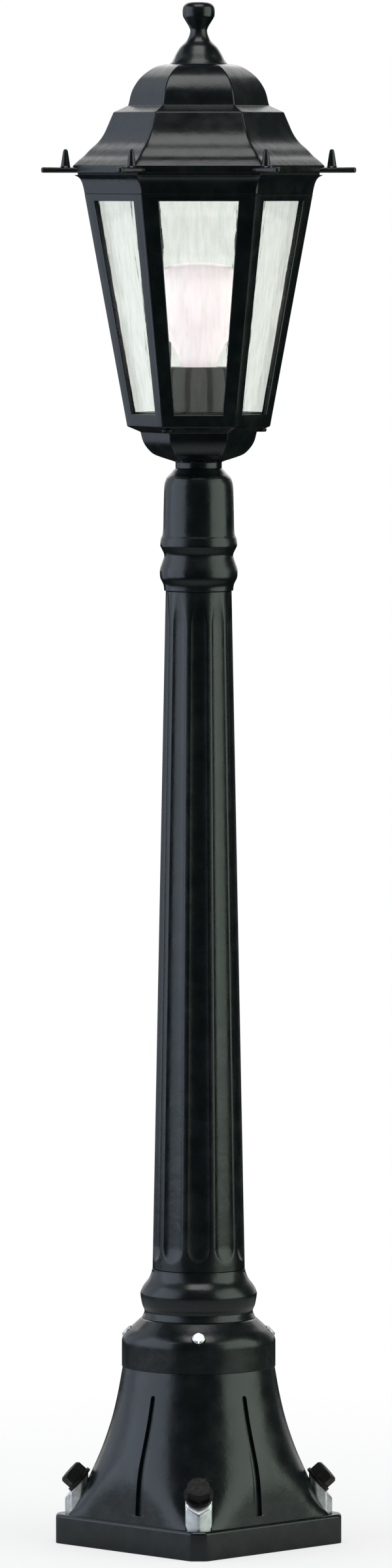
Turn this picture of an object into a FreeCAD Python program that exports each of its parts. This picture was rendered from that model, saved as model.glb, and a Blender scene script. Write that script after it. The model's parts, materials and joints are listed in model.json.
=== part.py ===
import FreeCAD, Part
import math
import os

# Outdoor post light: a six-sided lantern on a tapered fluted post, whose bell base has a square foot.
# Millimetres, +Z up, origin at the middle of the plinth's underside.
# The lantern has a flat face towards -Y, the base has a corner towards -Y.

Vector = FreeCAD.Vector
UP = Vector(0, 0, 1)

# Plinth
plinth_side = 153.0
plinth_height = 21.0
plinth_wall = 5.0
plinth_facet = 12.0
plinth_edge = 1.5
ground_hole_radius = 4.5
ground_hole_circle = 52.0
cable_hole_radius = 12.0

# Bell base
bell_height = 141.0
bell_wall = 5.0
bell_foot_face = 74.0
bell_foot_radius = 96.5
bell_waist_face = 58.0
bell_waist_radius = 54.6
bell_band_step = 0.6
bell_band_low = 35.0
bell_band_high = 16.0
bell_rim_radius = 41.1
slit_top = 53.0
slit_bottom = 6.0
slit_width_top = 3.6
slit_width_bottom = 6.5
slit_depth = 2.6
slit_turn = 35.0

# Corner bolts of the base, with their clamps
bolt_tilt = math.radians(48)
bolt_radius = 4.0
bolt_length = 47.0
bolt_head_flats = 16.0
bolt_head_height = 8.5
bolt_seat_reach = 84.5
bolt_seat_height = 23.5
bolt_washer_radius = 10.5
bolt_washer_height = 2.5
clamp_width = 19.0
clamp_nose = 96.0
clamp_nose_depth = 4.5
clamp_back = 79.0
clamp_heel = 84.0
clamp_neck = 13.0
corner_boss_width = 30.0
corner_boss_reach = 56.0
corner_boss_height = 38.0
plinth_boss_radius = 9.0

# Locking screws in the bell's shoulder
lock_tilt = math.radians(45)
lock_reach = 50.0
lock_drop = 10.4
lock_radius = 2.5
lock_head_radius = 4.8
lock_head_height = 2.6

# Base collar
collar_height = 35.0
collar_belly = 41.6
collar_neck = 33.3
spigot_radius = 31.0
spigot_length = 34.0
spigot_bore = 24.5

# Post shaft
shaft_length = 485.0
shaft_top_radius = 23.5
shaft_wall = 6.0
shaft_foot_radius = 28.0
shaft_foot_length = 28.0
shaft_head_radius = 18.5
shaft_head_length = 18.0
flute_count = 10
flute_low = 9.0
flute_high = 22.0
flute_point = 150.0
flute_foot_radius = 20.0
flute_foot_depth = 2.9
flute_head_radius = 14.0
flute_head_depth = 1.9

# Post top sleeve
sleeve_height = 87.0
sleeve_bead = 27.7
sleeve_mouth = 16.9
sleeve_roof = 9.0

# Lantern base, a round neck under a six-sided bowl
neck_radius = 16.5
neck_height = 5.0
bowl_height = 21.0
bowl_foot_corner = 17.5
bowl_rim_corner = 41.6
flange_rise = 4.0
bowl_wall = 3.0
bowl_floor = 11.0
nut_well_radius = 20.0
plate_seat = 20.0

# Lantern frame
frame_height = 178.5
frame_foot_corner = 51.1
frame_head_corner = 81.4
cove_height = 13.5
cove_corner = 89.0
frame_wall = 4.0
frame_floor = 8.0
floor_hole_corner = 40.0
rail_low = 9.0
rail_high = 18.5
bar_width_low = 9.3
bar_width_high = 12.1
head_flange_low = 11.5
head_flange_height = 4.0
head_flange_corner = 62.0
head_mouth_corner = 78.0
lip_height = 2.5
lip_wall = 2.0

# Panes and their clips
pane_thickness = 3.0
pane_lap = 4.0
pane_top_gap = 2.5
clip_width = 12.0
clip_thickness = 1.2
clip_lap = 4.0
clip_reach = 11.0

# Bridge bar across the frame's mouth
bridge_width = 16.0
bridge_height = 3.5
bridge_overlap = 6.0

# Roof
seal_height = 1.5
seal_width = 8.0
roof_height = 77.0
roof_wall = 3.0
eave_corner = 90.0
eave_height = 5.0
step_height = 43.0
step_corner = 60.9
dome_height = 29.4
dome_corner = 50.5
crown_corner = 24.0
roof_mouth_corner = 80.0
roof_boss_radius = 9.0
roof_boss_height = 8.0
tip_reach = 112.0
tip_root_width = 13.0
tip_end_radius = 2.2
tip_thickness = 4.0
nub_place = 94.6
nub_radius = 4.0
nub_top_radius = 1.3
nub_height = 12.5

# Finial and its stud
finial_height = 44.0
finial_foot = 20.8
finial_crown = 6.0
stud_radius = 3.0
stud_length = 118.0
stud_in_finial = 22.0
ring_radius = 7.0
ring_height = 1.6

# Lampholder and lamp
plate_radius = 30.5
plate_height = 2.0
holder_radius = 24.0
holder_height = 50.5
holder_rim_radius = 22.8
holder_taper = 9.0
base_radius = 19.0
base_height = 14.0
shell_radius = 14.3
shell_wall = 0.8
shell_height = 27.0
contact_width = 8.0
contact_height = 2.5
cap_radius = 13.1
cap_height = 24.0
cap_wall = 0.5
thread_depth = 0.7
thread_turns = 5
insulator_height = 2.0
insulator_radius = 9.0
tip_radius = 4.5
tip_height = 1.5
bulb_radius = 37.0
bulb_height = 80.6
bulb_neck_radius = 12.4
bulb_wall = 1.0

# Tie rod from the base to the lantern
rod_radius = 5.0
rod_bore = 3.5
rod_below = 14.0
rod_nut_flats = 17.0
rod_nut_height = 5.0
rod_washer_radius = 12.0
rod_washer_height = 2.0
tie_plate_radius = 29.0
tie_plate_height = 5.0

# Wiring
lead_radius = 2.6
lead_drop = 22.0
block_length = 40.0
block_width = 20.0
block_height = 18.0
block_place = 30.0
block_screw_radius = 2.0
block_screw_pitch = 12.0
block_screw_stand = 1.0
earth_place_x = -22.0
earth_place_y = -34.0
earth_radius = 3.0
earth_head_radius = 5.5
earth_washer_radius = 6.5
earth_washer_height = 1.0
grommet_lip = 3.0
grommet_height = 2.0
grommet_bore = 5.5

# Small fasteners
small_radius = 2.0
small_head_radius = 4.0
small_head_height = 2.4
small_length = 9.0
slot_width = 1.0
slot_depth = 1.0

# Clearances
fit = 0.1
running = 0.05
gap = 0.3
overrun = 60.0

# Levels, from the ground up
plinth_top = plinth_height
bell_top = plinth_top + bell_height
collar_top = bell_top + collar_height
shaft_top = collar_top + shaft_length
sleeve_top = shaft_top + sleeve_height
neck_top = sleeve_top + neck_height
flange_low = neck_top + bowl_height
frame_low = flange_low + flange_rise
frame_top = frame_low + frame_height
cove_low = frame_top - cove_height
roof_low = frame_top + seal_height
roof_top = roof_low + roof_height
finial_top = roof_top + finial_height
plate_low = sleeve_top + plate_seat
plate_top = plate_low + plate_height
holder_top = plate_top + holder_height
base_top = plate_top + base_height
contact_top = base_top + contact_height
cap_low = contact_top + tip_height + insulator_height
cap_top = cap_low + cap_height
rod_low = bell_top - spigot_length - rod_below
rod_top = plate_low - gap

# Curves, each from its start at (0, 0) to its end at (1, 1)
BELL_ROUND_SHARES = ((0, 0), (0.086, 0.19), (0.193, 0.366), (0.344, 0.543), (0.499, 0.686),
                      (0.702, 0.852), (0.85, 0.945), (1, 1))
BELL_FACE_SHARES = ((0, 0), (0.25, 0.2), (0.75, 0.49), (0.92, 0.7), (1, 1))
SHOULDER_SHARES = ((0, 0), (0.35, 0.28), (0.71, 0.56), (0.93, 0.8), (1, 1))
COVE_SHARES = ((0, 0), (0.12, 0.35), (0.3, 0.66), (0.55, 0.86), (1, 1))
BOWL_SHARES = ((0, 0), (0.43, 0.16), (0.64, 0.27), (0.82, 0.48), (0.93, 0.7), (1, 1))
SKIRT_SHARES = ((0, 0), (0.14, 0.1), (0.27, 0.18), (0.42, 0.3), (0.62, 0.44), (0.77, 0.6),
                (0.9, 0.82), (1, 1))
DOME_SHARES = ((0, 0), (0.03, 0.09), (0.07, 0.25), (0.13, 0.4), (0.25, 0.58), (0.4, 0.73),
               (0.61, 0.87), (0.79, 0.95), (1, 1))

# Turned outlines, as shares of the largest radius and of the height
COLLAR_SHARES = ((0.87, 0), (0.66, 0.137), (0.855, 0.271), (1, 0.46), (0.95, 0.55),
                 (0.687, 0.671), (0.277, 0.8), (0.05, 0.93), (0, 1))
SLEEVE_SHARES = ((0.713, 0), (0.769, 0.051), (0.963, 0.103), (1, 0.147), (0.972, 0.184),
                 (0.824, 0.238), (0.713, 0.292), (0.889, 0.345), (0.972, 0.372),
                 (0.926, 0.425), (0.787, 0.483), (0.75, 0.667), (0.704, 0.851),
                 (0.593, 0.908), (0.463, 0.936), (0.259, 0.962), (0, 1))
FINIAL_SHARES = ((1, 0), (0.885, 0.068), (0.76, 0.182), (0.62, 0.284), (0.404, 0.386),
                 (0.293, 0.523), (0.332, 0.602), (0.462, 0.705), (0.543, 0.784),
                 (0.543, 0.909), (0.44, 0.975))
BULB_SHARES = ((0.345, 0.07), (0.43, 0.19), (0.6, 0.33), (0.82, 0.47), (0.96, 0.6),
               (1, 0.705), (0.96, 0.81), (0.84, 0.895), (0.62, 0.96), (0.32, 0.993))
BULB_CROWN_SHARES = ((0.16, 0.9985), (0, 1))


def ring_angles(count, first):
    """Evenly spaced angles in degrees, starting at first."""
    return [first + 360 * index / count for index in range(count)]


HEX_CORNERS = ring_angles(6, 0)
HEX_FACES = ring_angles(6, 30)
BASE_CORNERS = ring_angles(4, 0)
BASE_FACES = ring_angles(4, 45)
SLIT_ANGLES = [corner + turn for corner in (-90, 90) for turn in (-slit_turn, slit_turn)]
HEX_FLAT = math.cos(math.pi / 6)


def bend(start, end, shares):
    """Points of a curve between two points, from its shares."""
    rise = end[1] - start[1]
    run = end[0] - start[0]
    return [(start[0] + run * along, start[1] + rise * up) for along, up in shares]


def line(start, end):
    return [start, end]


def edges_of(spans, scale):
    """Edges in the XZ plane: a span of two points is straight, a longer one is a smooth curve."""
    edges = []
    for span in spans:
        points = [Vector(x * scale, 0, z) for x, z in span]
        if len(points) == 2:
            edges.append(Part.LineSegment(*points).toShape())
        else:
            curve = Part.BSplineCurve()
            curve.interpolate(points)
            edges.append(curve.toShape())
    return edges


def chain(points):
    """Straight spans through a list of points."""
    return [line(first, second) for first, second in zip(points, points[1:])]


def turned(spans):
    """A solid turned about Z from the spans of its outline, closed along the axis if it is open."""
    edges = edges_of(spans, 1)
    first = spans[0][0]
    last = spans[-1][-1]
    if first != last:
        edges += edges_of([line(last, first)], 1)
    face = Part.Face(Part.Wire(edges))
    solid = face.revolve(Vector(0, 0, 0), UP, 360)
    return solid


def faceted(spans, angles, scale):
    """A many-sided solid: the outline from axis to axis is mirrored, drawn out and intersected."""
    right = edges_of(spans, scale)
    left = [edge.mirror(Vector(0, 0, 0), Vector(1, 0, 0)) for edge in right]
    wire = Part.Wire(Part.__sortEdges__(right + left))
    reach = 2 * plinth_side
    slab = Part.Face(wire).extrude(Vector(0, 2 * reach, 0))
    slab.translate(Vector(0, -reach, 0))
    solid = None
    for angle in angles[:len(angles) // 2]:
        turned_slab = slab.copy()
        turned_slab.rotate(Vector(0, 0, 0), UP, angle)
        solid = turned_slab if solid is None else solid.common(turned_slab)
    return one_solid(solid)


def one_solid(shape):
    """The largest solid of a shape."""
    return max(shape.Solids, key=lambda solid: solid.Volume)


def hexagon(corner, low, high):
    """An upright six-sided prism with a flat face to the front."""
    outline = chain([(0, low), (corner, low), (corner, high), (0, high)])
    return faceted(outline, HEX_FACES, HEX_FLAT)


def wall_prism(outline, depth):
    """A prism along +X from the axis, with its outline in Y and Z."""
    points = [Vector(0, y, z) for y, z in outline + outline[:1]]
    return Part.Face(Part.makePolygon(points)).extrude(Vector(depth, 0, 0))


def floor_prism(outline, low, height):
    """A prism that stands at a level, with its outline in X and Y."""
    points = [Vector(x, y, low) for x, y in outline + outline[:1]]
    return Part.Face(Part.makePolygon(points)).extrude(Vector(0, 0, height))


def rod(radius, low, high):
    """An upright round bar on the axis."""
    return Part.makeCylinder(radius, high - low, Vector(0, 0, low))


def tube(radius, bore, low, high):
    return rod(radius, low, high).cut(rod(bore, low, high))


def box(x_low, x_high, y_low, y_high, low, high):
    return Part.makeBox(x_high - x_low, y_high - y_low, high - low, Vector(x_low, y_low, low))


def nut(flats, height, low):
    """An upright hexagon nut blank on the axis."""
    return hexagon(flats / 2 / HEX_FLAT, low, low + height)


def around(shape, angles):
    """Copies of a shape turned about the axis."""
    copies = []
    for angle in angles:
        copy = shape.copy()
        copy.rotate(Vector(0, 0, 0), UP, angle)
        copies.append(copy)
    return copies


def tilted(shape, tilt, reach, height):
    """An upright shape on the axis, leaned outwards towards +X and moved to its seat."""
    copy = shape.copy()
    copy.rotate(Vector(0, 0, 0), Vector(0, 1, 0), math.degrees(tilt))
    copy.translate(Vector(reach, 0, height))
    return copy


def inset(points, wall):
    """Points moved inwards by a wall, square to the outline that rises along them."""
    moved = []
    last = len(points) - 1
    for index, (x, z) in enumerate(points):
        before = points[max(index - 1, 0)]
        after = points[min(index + 1, last)]
        run = after[0] - before[0]
        rise = after[1] - before[1]
        length = math.hypot(run, rise)
        moved.append((x - wall * rise / length, z + wall * run / length))
    return moved


def screw(radius, length, head_radius, head_height):
    """A slotted pan-head screw on the axis: the head stands on z = 0, the shank hangs below."""
    shank = rod(radius, -length, 0)
    head = rod(head_radius, 0, head_height)
    head = head.makeFillet(head_height / 2, [head.Edges[0]])
    slot = box(-head_radius, head_radius, -slot_width / 2, slot_width / 2,
               head_height - slot_depth, head_height + slot_depth)
    return one_solid(shank.fuse(head).cut(slot).removeSplitter())


def small_screw(length):
    return screw(small_radius, length, small_head_radius, small_head_height)


def frame_corner(height):
    """Corner radius of the frame's tapered body at a height."""
    slope = (frame_head_corner - frame_foot_corner) / (cove_low - frame_low)
    return frame_foot_corner + slope * (height - frame_low)


def frame_flat(height):
    """Distance from the axis to the frame's outer face at a height."""
    return frame_corner(height) * HEX_FLAT


def bell_spans(wall):
    """Outline of the round bell from the axis at its foot to the axis at its rim, less a wall."""
    waist = bell_waist_radius - wall
    band = waist + bell_band_step
    band_low = bell_top - bell_band_low
    flare = bend((waist, band_low), (bell_foot_radius - wall, plinth_top), BELL_ROUND_SHARES)
    shoulder = bend((bell_rim_radius - wall, bell_top - wall),
                    (band, bell_top - bell_band_high - wall), SHOULDER_SHARES)
    return [line((0, plinth_top), flare[-1]), flare[::-1], line(flare[0], (band, band_low)),
            line((band, band_low), shoulder[-1]), shoulder[::-1],
            line(shoulder[0], (0, bell_top - wall))]


def foot_spans(wall):
    """Outline of the square that shapes the bell's foot, less a wall."""
    waist = bell_waist_face - wall
    flare = bend((waist, bell_top - bell_band_low), (bell_foot_face - wall, plinth_top),
                 BELL_FACE_SHARES)
    return [line((0, plinth_top), flare[-1]), flare[::-1], line(flare[0], (waist, bell_top)),
            line((waist, bell_top), (0, bell_top))]


def bell_form(wall):
    """The round bell, cut to a square at its foot, less a wall."""
    square = faceted(foot_spans(wall), BASE_FACES, 1)
    return one_solid(square.common(turned(bell_spans(wall))))


def seat_solid(clearance):
    """The clamp's blank on the +X corner, under the tilted seat of the bolt."""
    half = clamp_width / 2 + clearance
    neck = clamp_neck / 2 + clearance
    back = clamp_back - clearance
    heel = clamp_heel - clearance
    nose = clamp_nose + clearance
    shoulder = nose - clamp_nose_depth
    outline = [(back, -neck), (heel, -half), (shoulder, -half), (nose, 0),
               (shoulder, half), (heel, half), (back, neck)]
    blank = floor_prism(outline, plinth_top, corner_boss_height)
    over = box(-overrun, overrun, -overrun, overrun, clearance, overrun)
    return one_solid(blank.cut(tilted(over, bolt_tilt, bolt_seat_reach, seat_height())))


def seat_height():
    return plinth_top + bolt_seat_height


def bolt_hole(clearance):
    """The bolt's hole on the +X corner, from above its seat to past its end."""
    hole = rod(bolt_radius + clearance, -bolt_length - clearance, overrun)
    return tilted(hole, bolt_tilt, bolt_seat_reach, seat_height())


def plinth_square(side, facet_reach, low, high):
    """A square prism standing corner-on, with its corners cut flat."""
    half = side / 2
    square = box(-half, half, -half, half, low, high)
    square.rotate(Vector(0, 0, 0), UP, 45)
    return square.common(box(-facet_reach, facet_reach, -facet_reach, facet_reach, low, high))


def make_plinth():
    reach = plinth_side / math.sqrt(2) - plinth_facet / 2
    body = plinth_square(plinth_side, reach, 0, plinth_top)
    top_edges = [edge for edge in body.Edges
                 if all(vertex.Z > plinth_top - fit for vertex in edge.Vertexes)]
    body = body.makeChamfer(plinth_edge, top_edges)
    inner = plinth_side - 2 * plinth_wall
    hollow = plinth_square(inner, reach - plinth_wall, 0, plinth_top - plinth_wall)
    boss = rod(plinth_boss_radius, -bolt_length - plinth_wall, 0)
    boss = tilted(boss, bolt_tilt, bolt_seat_reach, seat_height())
    for corner_boss in around(boss, BASE_CORNERS):
        hollow = hollow.cut(corner_boss)
    body = body.cut(hollow)
    ground_hole = rod(ground_hole_radius, 0, plinth_top)
    ground_hole.translate(Vector(ground_hole_circle, 0, 0))
    holes = around(ground_hole, BASE_FACES) + around(bolt_hole(0), BASE_CORNERS)
    holes.append(rod(cable_hole_radius, 0, plinth_top))
    earth_hole = rod(earth_radius, plinth_top - plinth_wall, plinth_top)
    earth_hole.translate(Vector(earth_place_x, earth_place_y, 0))
    holes.append(earth_hole)
    for hole in holes:
        body = body.cut(hole)
    return one_solid(body)


def slit_cutter():
    """Wedge for one slit on the +X side, wider at its foot and round at its top."""
    low = plinth_top + slit_bottom
    high = bell_top - slit_top
    outline = [(-slit_width_bottom / 2, low), (slit_width_bottom / 2, low),
               (slit_width_top / 2, high), (-slit_width_top / 2, high)]
    wedge = wall_prism(outline, bell_foot_radius)
    tip = Part.makeCylinder(slit_width_top / 2, bell_foot_radius, Vector(0, 0, high),
                            Vector(1, 0, 0))
    return wedge.fuse(tip)


def lock_place(shape):
    """An upright shape moved to the +X locking screw's seat on the bell's shoulder."""
    return tilted(shape, lock_tilt, lock_reach, bell_top - lock_drop)


def make_bell():
    body = bell_form(0)
    hollow = bell_form(bell_wall)
    half = corner_boss_width / 2
    corner = box(corner_boss_reach, clamp_nose, -half, half, plinth_top,
                 plinth_top + corner_boss_height)
    for corner_boss in around(corner, BASE_CORNERS):
        hollow = hollow.cut(corner_boss)
    body = body.cut(hollow)
    core = bell_form(slit_depth)
    for slit in around(slit_cutter(), SLIT_ANGLES):
        body = body.cut(slit.cut(core))
    body = body.cut(rod(spigot_radius + fit, plinth_top, bell_top))
    seat = lock_place(rod(lock_head_radius + gap, 0, overrun))
    lock_hole = lock_place(rod(lock_radius, -overrun, 0))
    cutters = (around(seat_solid(fit), BASE_CORNERS) + around(bolt_hole(fit), BASE_CORNERS)
               + around(seat, BASE_CORNERS) + around(lock_hole, BASE_CORNERS))
    over = tilted(rod(bolt_washer_radius + gap, 0, overrun), bolt_tilt, bolt_seat_reach,
                  seat_height())
    cutters += around(over, BASE_CORNERS)
    for cutter in cutters:
        body = body.cut(cutter)
    return one_solid(body)


def make_clamps():
    clamp = seat_solid(0).cut(bolt_hole(fit))
    return around(one_solid(clamp), BASE_CORNERS)


def make_bolts():
    shank = rod(bolt_radius, -bolt_length, bolt_washer_height)
    head = nut(bolt_head_flats, bolt_head_height, bolt_washer_height)
    crown = Part.makeCone(bolt_head_flats, bolt_head_flats / 2 / HEX_FLAT - plinth_edge,
                          bolt_head_height, Vector(0, 0, bolt_washer_height))
    bolt = one_solid(shank.fuse(head.common(crown)))
    return around(tilted(bolt, bolt_tilt, bolt_seat_reach, seat_height()), BASE_CORNERS)


def make_bolt_washers():
    washer = tube(bolt_washer_radius, bolt_radius + fit, 0, bolt_washer_height)
    return around(tilted(washer, bolt_tilt, bolt_seat_reach, seat_height()), BASE_CORNERS)


def lock_length():
    """From the shoulder's seat to the collar's spigot, along the tilted screw."""
    return (lock_reach - spigot_radius - lock_radius) / math.sin(lock_tilt)


def make_lock_screws():
    locking = screw(lock_radius, lock_length(), lock_head_radius, lock_head_height)
    return around(lock_place(locking), BASE_CORNERS)


def turned_outline(shares, slim, stout, low, high):
    """Outline points of a turned piece from its shares of radius and height."""
    return [(slim + (stout - slim) * wide, low + (high - low) * up) for wide, up in shares]


def make_collar():
    outline = turned_outline(COLLAR_SHARES, collar_neck, collar_belly, bell_top, collar_top)
    spans = [line((0, bell_top), outline[0]), outline, line(outline[-1], (0, collar_top))]
    body = turned(spans).fuse(rod(spigot_radius, bell_top - spigot_length, bell_top))
    body = body.cut(rod(spigot_bore, bell_top - spigot_length, collar_top))
    socket = rod(shaft_foot_radius + fit, collar_top - shaft_foot_length - fit, collar_top)
    return one_solid(body.cut(socket))


def shaft_radius(height):
    """The shaft's outer radius at a height."""
    share = (height - collar_top) / shaft_length
    return collar_neck - gap + (shaft_top_radius - collar_neck + gap) * share


def flute_cutter():
    """One flute's cutter: a slim cone with a round foot and a long pointed head, on the +X side."""
    low = collar_top + flute_low + flute_foot_radius
    high = shaft_top - flute_high
    foot_axis = shaft_radius(low) + flute_foot_radius - flute_foot_depth
    head_axis = shaft_radius(high) + flute_head_radius - flute_head_depth
    length = high - low
    arc = Part.Arc(Vector(0, 0, -flute_foot_radius),
                   Vector(flute_foot_radius * math.sin(math.pi / 4), 0,
                          -flute_foot_radius * math.cos(math.pi / 4)),
                   Vector(flute_foot_radius, 0, 0)).toShape()
    sides = chain([(flute_foot_radius, 0), (flute_head_radius, length),
                   (0, length + flute_point), (0, -flute_foot_radius)])
    cutter = Part.Face(Part.Wire([arc] + edges_of(sides, 1))).revolve(Vector(0, 0, 0), UP, 360)
    lean = math.degrees(math.atan2(head_axis - foot_axis, length))
    cutter.rotate(Vector(0, 0, 0), Vector(0, 1, 0), lean)
    cutter.translate(Vector(foot_axis, 0, low))
    return cutter


def make_shaft():
    body = Part.makeCone(shaft_radius(collar_top), shaft_radius(shaft_top), shaft_length,
                         Vector(0, 0, collar_top))
    body = body.fuse(rod(shaft_foot_radius, collar_top - shaft_foot_length, collar_top))
    body = body.fuse(rod(shaft_head_radius, shaft_top, shaft_top + shaft_head_length))
    foot_bore = shaft_foot_radius - shaft_wall
    head_bore = shaft_head_radius - shaft_wall / 2
    bore = Part.makeCone(foot_bore, head_bore, shaft_length, Vector(0, 0, collar_top))
    bore = bore.fuse(rod(foot_bore, collar_top - shaft_foot_length, collar_top))
    bore = bore.fuse(rod(head_bore, shaft_top, shaft_top + shaft_head_length))
    body = body.cut(bore)
    for cutter in around(flute_cutter(), ring_angles(flute_count, -90)):
        body = body.cut(cutter)
    return one_solid(body)


def make_sleeve():
    outline = turned_outline(SLEEVE_SHARES, sleeve_mouth, sleeve_bead, shaft_top, sleeve_top)
    spans = [line((0, shaft_top), outline[0]), outline, line(outline[-1], (0, sleeve_top))]
    body = turned(spans)
    socket = rod(shaft_head_radius + fit, shaft_top, shaft_top + shaft_head_length + fit)
    hollow = rod(shaft_head_radius - shaft_wall / 2, shaft_top, sleeve_top - sleeve_roof)
    hole = rod(rod_radius + fit, shaft_top, sleeve_top)
    return one_solid(body.cut(socket).cut(hollow).cut(hole))


def make_lantern_base():
    bowl = bend((bowl_foot_corner, neck_top), (bowl_rim_corner, flange_low), BOWL_SHARES)
    spans = [line((0, neck_top), bowl[0]), bowl,
             line(bowl[-1], (frame_foot_corner, frame_low)),
             line((frame_foot_corner, frame_low), (0, frame_low))]
    body = faceted(spans, HEX_FACES, HEX_FLAT)
    body = body.fuse(rod(neck_radius, sleeve_top, neck_top))
    chamber = hexagon(bowl_rim_corner - 2 * bowl_wall, plate_low, frame_low)
    well = rod(nut_well_radius, sleeve_top + bowl_floor, plate_low)
    hole = rod(rod_radius + fit, sleeve_top, plate_low)
    body = body.cut(chamber).cut(well).cut(hole)
    for screw_hole in around(frame_screw_hole(), frame_screw_angles()):
        body = body.cut(screw_hole)
    for screw_hole in around(plate_screw_hole(), plate_screw_angles()):
        body = body.cut(screw_hole)
    return one_solid(body)


def frame_screw_angles():
    return HEX_CORNERS[::2]


def frame_screw_reach():
    return (frame_foot_corner + bowl_rim_corner) / 2 - small_radius


def frame_screw_seat():
    """Level of the flange's flat screw seats, just under the frame."""
    return frame_low - bowl_wall / 2


def frame_screw_hole():
    """Hole for one frame screw, with a flat seat sunk into the flange's underside."""
    hole = rod(small_radius, flange_low, frame_low + frame_floor)
    seat = rod(small_head_radius + gap, flange_low - small_head_height, frame_screw_seat())
    both = hole.fuse(seat)
    both.translate(Vector(frame_screw_reach(), 0, 0))
    return both


def make_frame_screws():
    fastener = small_screw(frame_low - frame_screw_seat() + frame_floor / 2)
    fastener.rotate(Vector(0, 0, 0), Vector(1, 0, 0), 180)
    fastener.translate(Vector(frame_screw_reach(), 0, frame_screw_seat()))
    return around(fastener, frame_screw_angles())


def window_cutter():
    """Prism that cuts one window through the frame's +X face."""
    return window_prism(frame_low + rail_low, frame_top - rail_high, 0)


def window_prism(low, high, lap):
    """Prism through the +X face between its corner bars, wider by a lap on each side."""
    low_half = frame_corner(low) / 2 - bar_width_low + lap
    high_half = frame_corner(high) / 2 - bar_width_high + lap
    outline = [(-low_half, low), (low_half, low), (high_half, high), (-high_half, high)]
    return wall_prism(outline, cove_corner)


def make_frame():
    cove = bend((frame_head_corner, cove_low), (cove_corner, frame_top), COVE_SHARES)
    spans = [line((0, frame_low), (frame_foot_corner, frame_low)),
             line((frame_foot_corner, frame_low), (frame_head_corner, cove_low)), cove,
             line(cove[-1], (0, frame_top))]
    body = faceted(spans, HEX_FACES, HEX_FLAT)
    floor_top = frame_low + frame_floor
    flange_bottom = frame_top - head_flange_low
    wall = frame_wall / HEX_FLAT
    cavity = faceted(chain([(0, floor_top), (frame_corner(floor_top) - wall, floor_top),
                            (frame_corner(flange_bottom) - wall, flange_bottom),
                            (0, flange_bottom)]), HEX_FACES, HEX_FLAT)
    body = body.cut(cavity)
    body = body.cut(hexagon(floor_hole_corner, frame_low, floor_top))
    body = body.cut(hexagon(head_flange_corner, flange_bottom, frame_top))
    body = body.cut(hexagon(head_mouth_corner, flange_bottom + head_flange_height, frame_top))
    for window in around(window_cutter(), HEX_FACES):
        body = body.cut(window)
    lip_corner = frame_corner(floor_top) - wall - (pane_thickness + gap) / HEX_FLAT - gap
    lip = hexagon(lip_corner, floor_top, floor_top + lip_height)
    lip = lip.cut(hexagon(lip_corner - lip_wall / HEX_FLAT, floor_top, floor_top + lip_height))
    body = body.fuse(lip)
    for screw_hole in around(frame_screw_hole(), frame_screw_angles()):
        body = body.cut(screw_hole)
    for screw_hole in around(clip_screw_hole(), HEX_FACES):
        body = body.cut(screw_hole)
    for screw_hole in around(bridge_screw_hole(), HEX_CORNERS[::3]):
        body = body.cut(screw_hole)
    return one_solid(body.removeSplitter())


def leaning_slab(outer, thickness, low, high, half):
    """A slab that leans with the frame's +X face, from a distance inside that face."""
    points = [Vector(frame_flat(low) - outer, -half, low),
              Vector(frame_flat(high) - outer, -half, high),
              Vector(frame_flat(high) - outer - thickness, -half, high),
              Vector(frame_flat(low) - outer - thickness, -half, low)]
    face = Part.Face(Part.makePolygon(points + points[:1]))
    return face.extrude(Vector(0, 2 * half, 0))


def pane_top():
    return frame_top - head_flange_low - pane_top_gap


def make_pane():
    """One pane on the +X face, wider than its window by the lap on each side."""
    low = frame_low + frame_floor
    high = pane_top()
    slab = leaning_slab(frame_wall, pane_thickness, low, high, cove_corner)
    return one_solid(slab.common(window_prism(low, high, pane_lap)))


def clip_screw_reach():
    """Where the clips' screws stand, measured from the axis."""
    return frame_flat(pane_top()) - frame_wall - pane_thickness - clip_reach / 2


def clip_screw_hole():
    hole = rod(small_radius, frame_top - head_flange_low - overrun,
               frame_top - head_flange_low + head_flange_height)
    hole.translate(Vector(clip_screw_reach(), 0, 0))
    return hole


def make_clips():
    """Angle clips: one leg lies on the pane, the other is screwed under the head flange."""
    high = frame_top - head_flange_low
    low = pane_top() - clip_lap
    half = clip_width / 2
    leg = leaning_slab(frame_wall + pane_thickness, clip_thickness, low, high, half)
    outer = frame_flat(high) - frame_wall - pane_thickness
    foot = box(outer - clip_reach, outer - clip_thickness / 2, -half, half,
               high - clip_thickness, high)
    clip = one_solid(leg.fuse(foot).cut(clip_screw_hole()))
    return around(clip, HEX_FACES)


def make_clip_screws():
    fastener = small_screw(clip_thickness + head_flange_height - gap)
    fastener.rotate(Vector(0, 0, 0), Vector(1, 0, 0), 180)
    fastener.translate(Vector(clip_screw_reach(), 0,
                              frame_top - head_flange_low - clip_thickness))
    return around(fastener, HEX_FACES)


def bridge_low():
    return frame_top - head_flange_low + head_flange_height


def bridge_half():
    return head_flange_corner + bridge_overlap


def bridge_screw_hole():
    hole = rod(small_radius, frame_top - head_flange_low, bridge_low() + bridge_height)
    hole.translate(Vector(head_flange_corner, 0, 0))
    return hole


def make_bridge():
    """The bar across the frame's mouth that the finial's stud screws down to."""
    half = bridge_width / 2
    low = bridge_low()
    bar = box(-bridge_half(), bridge_half(), -half, half, low, low + bridge_height)
    bar = bar.cut(rod(stud_radius + running, low, low + bridge_height))
    for screw_hole in around(bridge_screw_hole(), HEX_CORNERS[::3]):
        bar = bar.cut(screw_hole)
    return one_solid(bar)


def make_bridge_screws():
    fastener = small_screw(bridge_height + head_flange_height - gap)
    fastener.translate(Vector(head_flange_corner, 0, bridge_low() + bridge_height))
    return around(fastener, HEX_CORNERS[::3])


def make_seal():
    outer = head_mouth_corner + seal_width
    ring = hexagon(outer, frame_top, roof_low)
    return one_solid(ring.cut(hexagon(head_mouth_corner + gap, frame_top, roof_low)))


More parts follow.
